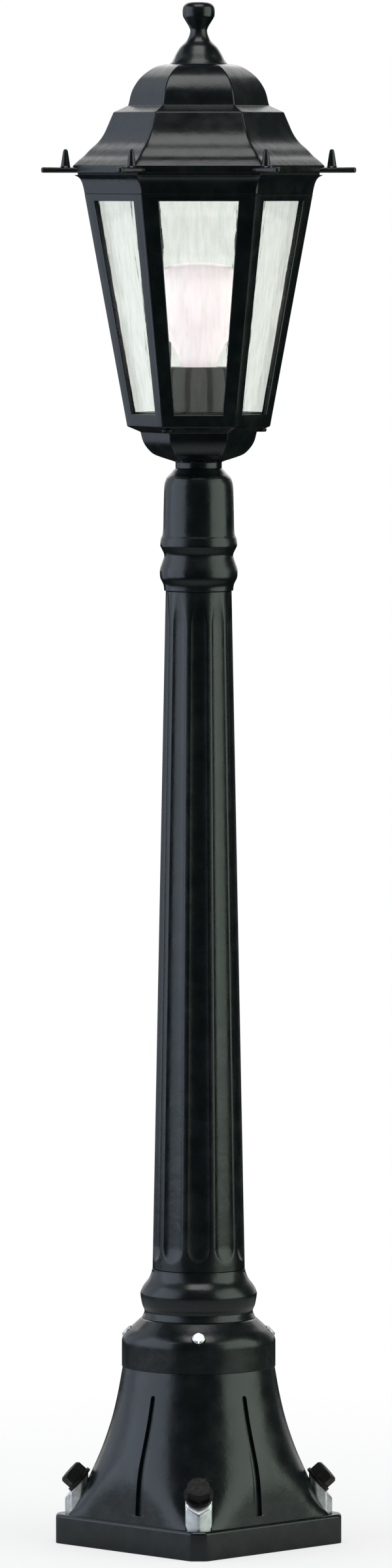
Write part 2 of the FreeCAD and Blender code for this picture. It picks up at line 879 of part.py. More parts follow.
def roof_points():
    """The roof's outline at a corner: eave, skirt, step and dome, from the bottom up."""
    eave_top = roof_low + eave_height
    step = (step_corner, roof_low + step_height)
    skirt = bend((eave_corner, eave_top), step, SKIRT_SHARES)
    dome_low = roof_top - dome_height
    dome = bend((dome_corner, dome_low), (crown_corner, roof_top), DOME_SHARES)
    return skirt, dome


def tip_ornament():
    """A flat tapering tip with an upright nub, for the roof's +X corner."""
    root = eave_corner - tip_root_width
    half = tip_root_width / 2
    end = tip_reach - tip_end_radius
    outline = [(root, -half), (eave_corner, -half), (end, -tip_end_radius),
               (end, tip_end_radius), (eave_corner, half), (root, half)]
    plate = floor_prism(outline, roof_low, tip_thickness)
    plate = plate.fuse(Part.makeCylinder(tip_end_radius, tip_thickness,
                                         Vector(end, 0, roof_low)))
    nub = Part.makeCone(nub_radius, nub_top_radius, nub_height,
                        Vector(nub_place, 0, roof_low + tip_thickness))
    ball = Part.makeSphere(nub_top_radius,
                           Vector(nub_place, 0, roof_low + tip_thickness + nub_height))
    return plate.fuse(nub).fuse(ball)


def make_roof():
    skirt, dome = roof_points()
    spans = [line((0, roof_low), (eave_corner, roof_low)),
             line((eave_corner, roof_low), skirt[0]), skirt,
             line(skirt[-1], dome[0]), dome, line(dome[-1], (0, roof_top))]
    body = faceted(spans, HEX_FACES, HEX_FLAT)
    lower = inset(skirt, roof_wall)
    upper = inset(dome, roof_wall)
    lower[0] = (roof_mouth_corner, roof_low + eave_height - roof_wall)
    lower[-1] = (dome[0][0] - roof_wall, skirt[-1][1] - roof_wall)
    upper[0] = (dome[0][0] - roof_wall, dome[0][1])
    upper[-1] = (crown_corner - roof_wall, roof_top - roof_wall)
    rising = [point for point in lower if point[0] <= roof_mouth_corner]
    outline = [(0, roof_low), (roof_mouth_corner, roof_low)] + rising + upper
    outline.append((0, roof_top - roof_wall))
    body = body.cut(faceted(chain(outline), HEX_FACES, HEX_FLAT))
    body = body.fuse(rod(roof_boss_radius, roof_top - roof_wall - roof_boss_height,
                         roof_top - roof_wall))
    for ornament in around(tip_ornament(), HEX_CORNERS):
        body = body.fuse(ornament)
    body = body.cut(rod(stud_radius + fit, roof_low, roof_top))
    return one_solid(body.removeSplitter())


def make_finial():
    outline = [(finial_foot * wide, roof_top + finial_height * up) for wide, up in FINIAL_SHARES]
    outline.append((finial_crown, finial_top))
    spans = [line((0, roof_top), outline[0]), outline, line(outline[-1], (0, finial_top))]
    hole = rod(stud_radius, roof_top, roof_top + stud_in_finial)
    return one_solid(turned(spans).cut(hole))


def make_stud():
    high = roof_top + stud_in_finial
    return rod(stud_radius, high - stud_length, high)


def make_ring():
    """Retaining ring that keeps the stud in the roof."""
    high = roof_top - roof_wall - roof_boss_height - gap
    return tube(ring_radius, stud_radius, high - ring_height, high)


def plate_screw_angles():
    return HEX_FACES[1::3]


def plate_screw_reach():
    return (plate_radius + nut_well_radius) / 2


def plate_screw_hole():
    hole = rod(small_radius, plate_low - small_length, plate_top)
    hole.translate(Vector(plate_screw_reach(), 0, 0))
    return hole


def holder_screw_reach():
    return (base_radius + rod_nut_flats / 2) / 2


def holder_screw_hole():
    hole = rod(small_radius, plate_low, plate_top + small_length)
    hole.translate(Vector(holder_screw_reach(), 0, 0))
    return hole


def lead_hole(low, high):
    return rod(lead_radius + gap, low, high)


def make_plate():
    """Steel plate in the bowl that carries the lampholder."""
    plate = rod(plate_radius, plate_low, plate_top).cut(lead_hole(plate_low, plate_top))
    for screw_hole in around(plate_screw_hole(), plate_screw_angles()):
        plate = plate.cut(screw_hole)
    for screw_hole in around(holder_screw_hole(), HEX_CORNERS[::3]):
        plate = plate.cut(screw_hole)
    return one_solid(plate)


def make_plate_screws():
    fastener = small_screw(small_length - gap)
    fastener.translate(Vector(plate_screw_reach(), 0, plate_top))
    return around(fastener, plate_screw_angles())


def make_holder_screws():
    fastener = small_screw(small_length)
    fastener.rotate(Vector(0, 0, 0), Vector(1, 0, 0), 180)
    fastener.translate(Vector(holder_screw_reach(), 0, plate_low))
    return around(fastener, HEX_CORNERS[::3])


def make_holder_base():
    """Ceramic base of the lampholder."""
    block = rod(base_radius, plate_top, base_top).cut(lead_hole(plate_top, base_top))
    for screw_hole in around(holder_screw_hole(), HEX_CORNERS[::3]):
        block = block.cut(screw_hole)
    return one_solid(block)


def make_holder_body():
    """Outer sleeve of the lampholder, open at its foot for the base, tapered at its rim."""
    taper_low = holder_top - holder_taper
    outline = chain([(0, plate_top), (holder_radius, plate_top), (holder_radius, taper_low),
                     (holder_rim_radius, holder_top), (0, holder_top)])
    body = turned(outline).cut(rod(base_radius + fit, plate_top, base_top + fit))
    cutouts = plate_screw_head_room()
    for cutout in around(cutouts, plate_screw_angles()):
        body = body.cut(cutout)
    return one_solid(body.cut(rod(shell_radius + fit, plate_top, holder_top)))


def plate_screw_head_room():
    room = rod(small_head_radius + gap, plate_top, plate_top + small_head_height + gap)
    room.translate(Vector(plate_screw_reach(), 0, 0))
    return room


def make_holder_shell():
    return tube(shell_radius, shell_radius - shell_wall, base_top, base_top + shell_height)


def make_holder_contact():
    """Centre contact: a strip on the base, just reaching the lamp's tip."""
    half = contact_width / 2
    length = shell_radius - shell_wall - gap
    strip = box(-length + contact_height, length - contact_height, -half, half,
                base_top, contact_top)
    return one_solid(strip.common(rod(length, base_top, contact_top)))


def make_lamp_cap():
    """Threaded cap of the lamp, with round crests."""
    pitch = cap_height / (thread_turns + 1)
    points = [(cap_radius - thread_depth, cap_low)]
    for turn in range(thread_turns):
        middle = cap_low + pitch * (turn + 1)
        points.append((cap_radius - thread_depth, middle - pitch / 2))
        points.append((cap_radius, middle))
    points.append((cap_radius - thread_depth, cap_top - pitch / 2))
    points.append((cap_radius - thread_depth, cap_top))
    outline = chain([(0, cap_low)] + points + [(0, cap_top)])
    inner = rod(cap_radius - thread_depth - cap_wall, cap_low + cap_wall, cap_top)
    return one_solid(turned(outline).cut(inner))


def make_lamp_insulator():
    low = contact_top + tip_height
    return Part.makeCone(tip_radius + cap_wall, insulator_radius, insulator_height,
                         Vector(0, 0, low))


def make_lamp_tip():
    return rod(tip_radius, contact_top, contact_top + tip_height)


def make_bulb():
    """Opal glass envelope of the lamp."""
    low = cap_top
    outline = [(bulb_radius * wide, low + bulb_height * up) for wide, up in BULB_SHARES]
    foot = (bulb_neck_radius, low)
    crown = [(bulb_radius * wide, low + bulb_height * up) for wide, up in BULB_CROWN_SHARES]
    spans = [line((0, low), foot), line(foot, outline[0]), outline + crown]
    inner = inset([foot] + outline, bulb_wall)
    inner[0] = (bulb_neck_radius - bulb_wall, low)
    inside = chain([(0, low)] + inner + [(0, inner[-1][1])])
    return one_solid(turned(spans).cut(turned(inside)))


def make_tie_rod():
    return tube(rod_radius, rod_bore, rod_low, rod_top)


def tie_plate_low():
    return bell_top - spigot_length - tie_plate_height


def well_floor():
    return sleeve_top + bowl_floor


def make_tie_plate():
    """Disc under the collar's spigot that the rod's lower nut pulls against."""
    low = tie_plate_low()
    return tube(tie_plate_radius, rod_radius + fit, low, low + tie_plate_height)


def make_rod_washers():
    low = tie_plate_low() - rod_washer_height
    return [tube(rod_washer_radius, rod_radius + fit, low, low + rod_washer_height),
            tube(rod_washer_radius, rod_radius + fit, well_floor(),
                 well_floor() + rod_washer_height)]


def make_rod_nuts():
    low = tie_plate_low() - rod_washer_height - rod_nut_height
    high = well_floor() + rod_washer_height
    return [one_solid(nut(rod_nut_flats, rod_nut_height, level).cut(
        rod(rod_radius, level, level + rod_nut_height))) for level in (low, high)]


def block_middle():
    """Top middle of the terminal block, where the lead goes in."""
    return Vector(0, block_place, plinth_top + block_height)


def make_lead():
    """The lead from the terminal block, up the rod, to the lampholder's contact."""
    start = Vector(0, 0, base_top - gap)
    goal = block_middle() + Vector(0, 0, gap)
    radius = block_place / 2
    bend_high = Vector(0, 0, rod_low - lead_drop)
    middle = bend_high + Vector(0, radius, -radius)
    bend_low = middle + Vector(0, radius, -radius)
    near = radius * (1 - math.cos(math.pi / 4))
    far = radius * math.sin(math.pi / 4)
    first = Part.Arc(bend_high, bend_high + Vector(0, near, -far), middle)
    second = Part.Arc(middle, bend_low + Vector(0, -near, far), bend_low)
    path = Part.Wire([Part.LineSegment(start, bend_high).toShape(), first.toShape(),
                      second.toShape(), Part.LineSegment(bend_low, goal).toShape()])
    section = Part.Wire(Part.Circle(start, UP, lead_radius).toShape())
    lead = path.makePipeShell([section], True, False)
    length = path.Length
    print("lead length", round(length, 1), "volume share",
          round(lead.Volume / (math.pi * lead_radius ** 2 * length), 4), "bend radius", radius)
    return lead


def make_block():
    half = block_length / 2
    y_low = block_place - block_width / 2
    body = box(-half, half, y_low, y_low + block_width, plinth_top, plinth_top + block_height)
    for place in block_screw_places():
        hole = rod(block_screw_radius, plinth_top + block_height / 2, plinth_top + block_height)
        hole.translate(place)
        body = body.cut(hole)
    return one_solid(body)


def block_screw_places():
    y = block_place - block_width / 2 + block_screw_radius * 2
    return [Vector(block_screw_pitch * index, y, 0) for index in (-1, 0, 1)]


def make_block_screws():
    screws = []
    for place in block_screw_places():
        pin = rod(block_screw_radius, plinth_top + block_height / 2,
                  plinth_top + block_height + block_screw_stand)
        pin.translate(place)
        screws.append(pin)
    return screws


def make_earth_screw():
    bolt = screw(earth_radius, plinth_wall + small_length, earth_head_radius,
                 small_head_height)
    bolt.translate(Vector(earth_place_x, earth_place_y,
                          plinth_top + earth_washer_height))
    return [bolt]


def make_earth_washer():
    washer = tube(earth_washer_radius, earth_radius, plinth_top,
                  plinth_top + earth_washer_height)
    washer.translate(Vector(earth_place_x, earth_place_y, 0))
    return [washer]


def make_grommet():
    """Rubber grommet in the plinth's cable hole, with a lip on each side of the plate."""
    low = plinth_top - plinth_wall
    lip = cable_hole_radius + grommet_lip
    body = rod(cable_hole_radius, low, plinth_top)
    body = body.fuse(rod(lip, low - grommet_height, low))
    body = body.fuse(rod(lip, plinth_top, plinth_top + grommet_height))
    body = body.cut(rod(grommet_bore, low - grommet_height, plinth_top + grommet_height))
    return one_solid(body.removeSplitter())


def save(name, solids):
    """One STEP file per sub-part, with all of its solids."""
    shape = solids[0] if len(solids) == 1 else Part.makeCompound(solids)
    shape.exportStep("parts/" + name + ".step")


PANE_NAMES = ("glass_back_right", "glass_back", "glass_back_left", "glass_front_left",
              "glass_front", "glass_front_right")


def main():
    os.makedirs("parts", exist_ok=True)
    save("plinth", [make_plinth()])
    save("bell_base", [make_bell()])
    save("corner_clamps", make_clamps())
    save("corner_bolts", make_bolts())
    save("corner_washers", make_bolt_washers())
    save("locking_screws", make_lock_screws())
    save("base_collar", [make_collar()])
    save("post_shaft", [make_shaft()])
    save("post_top", [make_sleeve()])
    save("lantern_base", [make_lantern_base()])
    save("frame_screws", make_frame_screws())
    save("lantern_frame", [make_frame()])
    for name, pane in zip(PANE_NAMES, around(make_pane(), HEX_FACES)):
        save(name, [pane])
    save("pane_clips", make_clips())
    save("clip_screws", make_clip_screws())
    save("bridge_bar", [make_bridge()])
    save("bridge_screws", make_bridge_screws())
    save("roof_seal", [make_seal()])
    save("roof", [make_roof()])
    save("finial", [make_finial()])
    save("finial_stud", [make_stud()])
    save("retaining_ring", [make_ring()])
    save("holder_plate", [make_plate()])
    save("plate_screws", make_plate_screws())
    save("holder_screws", make_holder_screws())
    save("holder_base", [make_holder_base()])
    save("holder_body", [make_holder_body()])
    save("holder_shell", [make_holder_shell()])
    save("holder_contact", [make_holder_contact()])
    save("lamp_cap", [make_lamp_cap()])
    save("lamp_insulator", [make_lamp_insulator()])
    save("lamp_contact", [make_lamp_tip()])
    save("lamp_glass", [make_bulb()])
    save("tie_rod", [make_tie_rod()])
    save("tie_plate", [make_tie_plate()])
    save("rod_washers", make_rod_washers())
    save("rod_nuts", make_rod_nuts())
    save("inner_lead", [make_lead()])
    save("terminal_block", [make_block()])
    save("terminal_screws", make_block_screws())
    save("earth_screw", make_earth_screw())
    save("earth_washer", make_earth_washer())
    save("cable_grommet", [make_grommet()])


main()
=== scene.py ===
import json
import math

import bmesh
import bpy
import numpy as np
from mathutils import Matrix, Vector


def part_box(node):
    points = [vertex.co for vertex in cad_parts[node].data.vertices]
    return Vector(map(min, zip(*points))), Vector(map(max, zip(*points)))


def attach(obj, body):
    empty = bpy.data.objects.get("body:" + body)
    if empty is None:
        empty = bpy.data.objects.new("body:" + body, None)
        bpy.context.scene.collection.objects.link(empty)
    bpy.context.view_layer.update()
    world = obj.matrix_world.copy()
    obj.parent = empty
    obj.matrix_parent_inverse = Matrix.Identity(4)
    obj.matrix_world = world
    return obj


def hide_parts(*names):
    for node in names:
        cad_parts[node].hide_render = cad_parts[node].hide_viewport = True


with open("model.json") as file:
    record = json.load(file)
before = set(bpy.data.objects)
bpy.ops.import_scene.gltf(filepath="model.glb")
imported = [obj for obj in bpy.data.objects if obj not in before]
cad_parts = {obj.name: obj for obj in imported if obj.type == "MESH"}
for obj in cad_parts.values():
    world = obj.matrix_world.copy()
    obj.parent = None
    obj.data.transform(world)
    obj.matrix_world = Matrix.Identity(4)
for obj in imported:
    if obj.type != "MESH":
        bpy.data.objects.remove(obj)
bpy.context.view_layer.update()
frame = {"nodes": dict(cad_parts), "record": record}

# Looks of a short outdoor post light: a six-sided glazed lantern on a fluted cast post.
# Lengths are millimetres with +Z up, and become metres where a mesh is made.
MM = 0.001
HEX_CORNERS = np.radians(np.arange(6) * 60)
HEX_FACES = HEX_CORNERS + math.pi / 6
BASE_CORNERS = np.radians(np.arange(4) * 90)
BASE_FACES = BASE_CORNERS + math.pi / 4
HEX_FLAT = math.cos(math.pi / 6)
TURN = 2 * math.pi

# Edges that turn by more than this stay sharp, and points closer than this, in metres, join
SHARP_ANGLE = math.radians(32)
MERGE_DISTANCE = 1e-7


def span(node):
    """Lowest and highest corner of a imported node, in millimetres."""
    low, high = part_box(node)
    return np.array(low) / MM, np.array(high) / MM


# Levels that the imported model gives, and the bell's top, which the collar hides
PLINTH_TOP = span("corner_clamps")[0][2]
COLLAR_TOP = span("base_collar")[1][2]
COLLAR_HEIGHT = 35.0
BELL_TOP = COLLAR_TOP - COLLAR_HEIGHT
SHAFT_TOP = span("post_top")[0][2]
SLEEVE_TOP = span("post_top")[1][2]
FRAME_LOW = span("lantern_frame")[0][2]
FRAME_TOP = span("lantern_frame")[1][2]
ROOF_LOW = span("roof")[0][2]
ROOF_TOP = span("finial")[0][2]
FINIAL_TOP = span("finial")[1][2]

# Bell: radius at its foot, waist and rim, and the sides of the square that cuts its foot
BELL_FOOT = 96.5
BELL_WAIST = 54.6
BELL_RIM = 41.1
SIDE_FOOT = 74.0
SIDE_WAIST = 58.0
SIDE_BLEND = 5.0
BELL_WALL = 5.0
BAND_LOW = BELL_TOP - 35.0
BAND_HIGH = BELL_TOP - 16.0
BAND_STEP = 0.6
BAND_EDGE = 0.4
SPIGOT = 31.0
SLIT_LOW = PLINTH_TOP + 6.0
SLIT_HIGH = BELL_TOP - 53.0
SLIT_HALVES = (3.25, 1.8)
SLIT_DEPTH = 2.6
SLIT_TURN = math.radians(35)

# Corner bolts: seat, washer, clamp and locking screw
BOLT_TILT = math.radians(48)
SEAT_REACH = 84.5
SEAT_HEIGHT = PLINTH_TOP + 23.5
WASHER_HEIGHT = 2.5
CLAMP_HALF = 9.5
CLAMP_BACK = 79.0
CLAMP_TOP = SEAT_HEIGHT + 10.0
LOCK_REACH = 50.0
LOCK_HEIGHT = BELL_TOP - 10.4
LOCK_SEAT = 5.1

# Clearance in sockets and cuts, and a reach that no piece has
FIT = 0.1
BEYOND = 200.0

# Shaft and its flutes
SHAFT_FOOT = 33.0
SHAFT_HEAD = 23.5
FLUTES = 10
FLUTE_LOW = COLLAR_TOP + 17.0
FLUTE_HIGH = SHAFT_TOP - 22.0
FLUTE_SIZES = (20.0, 14.0)
FLUTE_DEPTHS = (2.9, 1.9)
FLUTE_POINT = 150.0
SHAFT_CHAMFER = 0.6

# Spigots at the shaft's ends, its bores and the tie rod's hole
FOOT_SPIGOT = 28.0
FOOT_SPIGOT_LENGTH = 28.0
HEAD_SPIGOT = 18.5
HEAD_SPIGOT_LENGTH = 18.0
FOOT_BORE = 22.0
HEAD_BORE = 15.5
ROD_HOLE = 5.1

# Lantern: corner reach of the frame, its windows and its roof
FRAME_FOOT = 51.1
FRAME_HEAD = 81.4
COVE_LOW = FRAME_TOP - 13.5
COVE_CORNER = 89.0
FRAME_WALL = 4.0
WINDOW_LOW = FRAME_LOW + 9.0
WINDOW_HIGH = FRAME_TOP - 18.5
BAR_WIDTHS = (9.3, 12.1)
PANE_LOW = FRAME_LOW + 8.0
PANE_HIGH = FRAME_TOP - 14.0
PANE_THICKNESS = 3.0
PANE_LAP = 4.0
EAVE = 90.0
EAVE_HEIGHT = 5.0
ROOF_WALL = 3.0

# Ripple of a rolled pane: height and mean depth of its waves, their lengths with how much
# each follows the sways, reach and length of the sways, length over which the first wave
# fades, and the turn of the waves from pane to pane
RIPPLE_HEIGHT = 0.007
RIPPLE_DEPTH = 0.022
RIPPLE_WAVES = ((5.1, 1.0), (8.3, 1.7), (13.7, 2.3))
RIPPLE_SWAYS = ((1.4, 61.0), (0.6, 23.0))
RIPPLE_FADE = 90.0
RIPPLE_TURN = 1.7

# Outlines as shares of a piece's reach and height
BELL_ROUND_SHARES = ((0, 0), (0.086, 0.19), (0.193, 0.366), (0.344, 0.543), (0.499, 0.686),
                     (0.702, 0.852), (0.85, 0.945), (1, 1))
BELL_FACE_SHARES = ((0, 0), (0.25, 0.2), (0.75, 0.49), (0.92, 0.7), (1, 1))
SHOULDER_SHARES = ((0, 0), (0.35, 0.28), (0.71, 0.56), (0.93, 0.8), (1, 1))
COVE_SHARES = ((0, 0), (0.12, 0.35), (0.3, 0.66), (0.55, 0.86), (1, 1))
BOWL_SHARES = ((0, 0), (0.43, 0.16), (0.64, 0.27), (0.82, 0.48), (0.93, 0.7), (1, 1))
SKIRT_SHARES = ((0, 0), (0.14, 0.1), (0.27, 0.18), (0.42, 0.3), (0.62, 0.44), (0.77, 0.6),
                (0.9, 0.82), (1, 1))
DOME_SHARES = ((0, 0), (0.03, 0.09), (0.07, 0.25), (0.13, 0.4), (0.25, 0.58), (0.4, 0.73),
               (0.61, 0.87), (0.79, 0.95), (1, 1))
COLLAR_SHARES = ((0.87, 0), (0.66, 0.137), (0.855, 0.271), (1, 0.46), (0.95, 0.55),
                 (0.687, 0.671), (0.277, 0.8), (0.05, 0.93), (0, 1))
SLEEVE_SHARES = ((0.713, 0), (0.769, 0.051), (0.963, 0.103), (1, 0.147), (0.972, 0.184),
                 (0.824, 0.238), (0.713, 0.292), (0.889, 0.345), (0.972, 0.372),
                 (0.926, 0.425), (0.787, 0.483), (0.75, 0.667), (0.704, 0.851),
                 (0.593, 0.908), (0.463, 0.936), (0.259, 0.962), (0, 1))
FINIAL_SHARES = ((1, 0), (0.885, 0.068), (0.76, 0.182), (0.62, 0.284), (0.404, 0.386),
                 (0.293, 0.523), (0.332, 0.602), (0.462, 0.705), (0.543, 0.784),
                 (0.543, 0.909), (0.44, 0.975), (0.29, 1))
BULB_SHARES = ((0.335, 0), (0.345, 0.07), (0.43, 0.19), (0.6, 0.33), (0.82, 0.47),
               (0.96, 0.6), (1, 0.705), (0.96, 0.81), (0.84, 0.895), (0.62, 0.96),
               (0.32, 0.993), (0, 1))

# Radius of a nub on the roof's tips, and its rise over the nub's foot
NUB_OUTLINE = ((0, -1), (4.0, 0), (3.4, 1.5), (3.0, 4), (2.4, 8), (1.7, 12), (1.0, 13.2),
               (0, 13.4))

# Panes in the order of the hexagon's faces
PANE_NAMES = ("glass_back_right", "glass_back", "glass_back_left", "glass_front_left",
              "glass_front", "glass_front_right")


def unit(vectors):
    """Vectors over their lengths. One of no length stays as it is."""
    return vectors / np.maximum(np.linalg.norm(vectors, axis=-1, keepdims=True), 1e-9)


def smooth_step(share):
    """Rises from 0 to 1 with level ends: 3 t squared less 2 t cubed."""
    share = np.clip(share, 0, 1)
    return share * share * (3 - 2 * share)


def through(points, count):
    """Curve through points: each stretch is a cubic whose slope at a point is half the step
    from the point before it to the point after it."""
    points = np.array(points, float)
    ends = np.vstack([2 * points[0] - points[1], points, 2 * points[-1] - points[-2]])
    place = np.linspace(0, len(points) - 1, count)
    index = np.minimum(place.astype(int), len(points) - 2)
    t = (place - index)[:, None]
    before, start, end, after = (ends[index + step] for step in range(4))
    return 0.5 * (2 * start + (end - before) * t
                  + (2 * before - 5 * start + 4 * end - after) * t ** 2
                  + (3 * start - before - 3 * end + after) * t ** 3)


def bend(start, end, shares, count):
    """Curve from one point to another, through points given as shares of the way."""
    shares = np.array(shares, float)
    start = np.array(start, float)
    return through(start + (np.array(end, float) - start) * shares, count)


def softened(outline, radius, steps=5, closed=True):
    """Outline whose sharp corners become parabolas that start and end a radius away, or just
    under half of a side that is short. Points where the outline turns by less than 20
    degrees stay as they are."""
    longest_share, least_turn = 0.45, math.radians(20)
    before = np.roll(outline, 1, axis=0) - outline
    after = np.roll(outline, -1, axis=0) - outline
    reach_before = np.minimum(radius, longest_share * np.linalg.norm(before, axis=1))[:, None]
    reach_after = np.minimum(radius, longest_share * np.linalg.norm(after, axis=1))[:, None]
    sharp = (unit(before) * unit(after)).sum(axis=1) > -math.cos(least_turn)
    if not closed:
        sharp[[0, -1]] = False
    start = outline + unit(before) * reach_before
    end = outline + unit(after) * reach_after
    t = np.linspace(0, 1, steps)[None, :, None]
    curve = ((1 - t) ** 2 * start[:, None] + 2 * t * (1 - t) * outline[:, None]
             + t ** 2 * end[:, None])
    curve[~sharp] = outline[~sharp][:, None]
    keep = np.ones(curve.shape[:2], bool)
    keep[~sharp, 1:] = False
    return curve[keep]


def soft_min(first, second, width):
    """Smaller of two values, rounded where they meet: half of their sum less the root of
    their difference squared plus a width squared."""
    return (first + second - np.sqrt((first - second) ** 2 + width ** 2)) / 2


def stations(marks, counts):
    """Values through marks, in a number of even steps from each to the next."""
    steps = [np.linspace(low, high, count, endpoint=False)
             for low, high, count in zip(marks, marks[1:], counts)]
    return np.concatenate(steps + [marks[-1:]])


def walled(curve, wall):
    """Curve moved inwards by a wall, square to its own direction as it rises."""
    run, rise = np.gradient(curve, axis=0).T
    length = np.hypot(run, rise)
    return curve + wall * np.stack([-rise, run], axis=1) / length[:, None]


def even_angles(count):
    """Angles evenly round a circle, the first at 0."""
    return np.arange(count) * TURN / count


def side_angles(sides, per_side, crowding=0.8):
    """Angles round a polygon, crowded at its corners: a side's share w becomes w less
    crowding sin(2 pi w) / (2 pi)."""
    share = np.arange(per_side) / per_side
    share = share - crowding * np.sin(TURN * share) / TURN
    return (np.arange(sides)[:, None] + share[None, :]).ravel() * TURN / sides


def polygon(angles, normals, sharpness):
    """Reach of a polygon of unit flat distance with rounded corners: one over the p-norm of
    the cosines between a direction and the faces' normals."""
    cosines = np.clip(np.cos(angles[:, None] - normals), 0, None)
    return (cosines ** sharpness).sum(axis=1) ** (-1 / sharpness)


def lofted(reach, heights, angles):
    """Grid round the axis: a reach for each row and angle, at the row's height."""
    reach = np.broadcast_to(reach, (len(heights), len(angles)))
    level = np.broadcast_to(np.array(heights)[:, None], reach.shape)
    return np.stack([reach * np.cos(angles), reach * np.sin(angles), level], axis=-1)


def repeated(reach, heights, angles, sides, first):
    """Grid from half a side's reaches and angles per row: mirrored, then set round the axis."""
    turn = first + np.arange(sides) * TURN / sides
    spread = np.hstack([-angles[:, :0:-1], angles])[:, 1:]
    spread = (spread[:, None, :] + turn[None, :, None]).reshape(len(angles), -1)
    size = np.tile(np.hstack([reach[:, :0:-1], reach])[:, 1:], sides)
    level = np.broadcast_to(np.array(heights)[:, None], size.shape)
    return np.stack([size * np.cos(spread), size * np.sin(spread), level], axis=-1)


def six_sided(outline, sharpness=150, per_side=24):
    """Grid of six flat sides with softened corners, from rows of corner reach and height."""
    angles = side_angles(6, per_side)
    corners = polygon(angles, HEX_FACES, sharpness) * HEX_FLAT
    return lofted(outline[:, :1] * corners, outline[:, 1], angles)


def turned(outline, count=96):
    """Grid of an outline of radii and heights turned about the axis."""
    outline = np.array(outline, float)
    return lofted(outline[:, :1], outline[:, 1], even_angles(count))


def placed(grid, tilt=0.0, reach=0.0, height=0.0, spin=0.0):
    """Grid leaned outwards about Y, moved along X and up, then spun about Z."""
    x, y, z = np.moveaxis(grid, -1, 0)
    lean_x = x * math.cos(tilt) + z * math.sin(tilt) + reach
    lean_z = z * math.cos(tilt) - x * math.sin(tilt) + height
    return np.stack([lean_x * math.cos(spin) - y * math.sin(spin),
                     lean_x * math.sin(spin) + y * math.cos(spin), lean_z], axis=-1)


def quads(rows, columns, closed):
    """Corner numbers of a grid's quads. Columns close on themselves, rows where asked."""
    row, column = np.meshgrid(np.arange(rows if closed else rows - 1), np.arange(columns),
                              indexing="ij")
    next_row = (row + 1) % rows
    next_column = (column + 1) % columns
    corners = [row * columns + column, row * columns + next_column,
               next_row * columns + next_column, next_row * columns + column]
    return np.stack(corners, axis=-1).reshape(-1, 4)


def piece(name, shells, slot, nodes):
    """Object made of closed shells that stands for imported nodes. A shell is a grid and
    whether its rows close on themselves; rows of radius zero become poles."""
    points = []
    faces = []
    count = 0
    for grid, closed in shells:
        rows, columns = grid.shape[:2]
        points.append(grid.reshape(-1, 3) * MM)
        faces.append(quads(rows, columns, closed) + count)
        count += rows * columns
    mesh = bpy.data.meshes.new(name)
    mesh.from_pydata(np.concatenate(points).tolist(), [], np.concatenate(faces).tolist())
    merged = bmesh.new()
    merged.from_mesh(mesh)
    bmesh.ops.remove_doubles(merged, verts=merged.verts, dist=MERGE_DISTANCE)
    merged.to_mesh(mesh)
    merged.free()
    mesh.shade_smooth()
    mesh.set_sharp_from_angle(angle=SHARP_ANGLE)
    made = bpy.data.objects.new(name, mesh)
    bpy.context.scene.collection.objects.link(made)
    made.data.materials.append(MATERIALS[slot])
    body = next(body for body, members in frame["record"]["behaviour"]["bodies"].items()
                if nodes[0] in members)
    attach(made, body)
    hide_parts(*nodes)


def linear(code):
    """Linear colour of an sRGB hex code."""
    shares = [int(code[place:place + 2], 16) / 255 for place in (0, 2, 4)]
    return [s / 12.92 if s <= 0.04045 else ((s + 0.055) / 1.055) ** 2.4 for s in shares] + [1]


def add(tree, kind, values=None, links=None, **settings):
    """Adds a node with its settings, its sockets' values and where its sockets' links start."""
    made = tree.nodes.new(kind)
    for name, value in settings.items():
        setattr(made, name, value)
    for name, value in (values or {}).items():
        made.inputs[name].default_value = value
    for name, source in (links or {}).items():
        tree.links.new(source, made.inputs[name])
    return made


def new_material(name):
    """New material and its node tree, empty."""
    made = bpy.data.materials.new(name)
    made.use_nodes = True
    made.node_tree.nodes.clear()
    return made, made.node_tree


def noise(tree, size, detail=3.0, stretch=(1, 1, 1)):
    """Noise on the object's own coordinates whose grains are about a size in millimetres."""
    place = add(tree, "ShaderNodeTexCoord").outputs["Object"]
    scaled = add(tree, "ShaderNodeMapping", {"Scale": stretch}, {"Vector": place})
    return add(tree, "ShaderNodeTexNoise", {"Scale": 1 / (size * MM), "Detail": detail},
               {"Vector": scaled.outputs["Vector"]}).outputs["Fac"]


def ramp(tree, factor, low, high, start, end):
    """Value that goes from start to end while a factor goes from low to high."""
    return add(tree, "ShaderNodeMapRange", {"From Min": low, "From Max": high,
                                            "To Min": start, "To Max": end},
               {"Value": factor}).outputs["Result"]


def tints(tree, factor, *stops):
    """Colours from hex codes at places along a factor."""
    made = add(tree, "ShaderNodeValToRGB", links={"Fac": factor})
    band = made.color_ramp.elements
    while len(band) < len(stops):
        band.new(0.5)
    for element, (place, code) in zip(band, stops):
        element.position = place
        element.color = linear(code)
    return made.outputs["Color"]


def bumped(tree, *layers):
    """Normal roughened by layers of a height and the depth in millimetres that it spans."""
    normal = None
    for height, depth in layers:
        links = {"Height": height}
        if normal is not None:
            links["Normal"] = normal
        normal = add(tree, "ShaderNodeBump", {"Strength": 1.0, "Distance": depth * MM},
                     links).outputs["Normal"]
    return normal


def finished(tree, values, links):
    """Ends a material's tree with a principled surface of these values and links."""
    shader = add(tree, "ShaderNodeBsdfPrincipled", values, links)
    add(tree, "ShaderNodeOutputMaterial", links={"Surface": shader.outputs["BSDF"]})


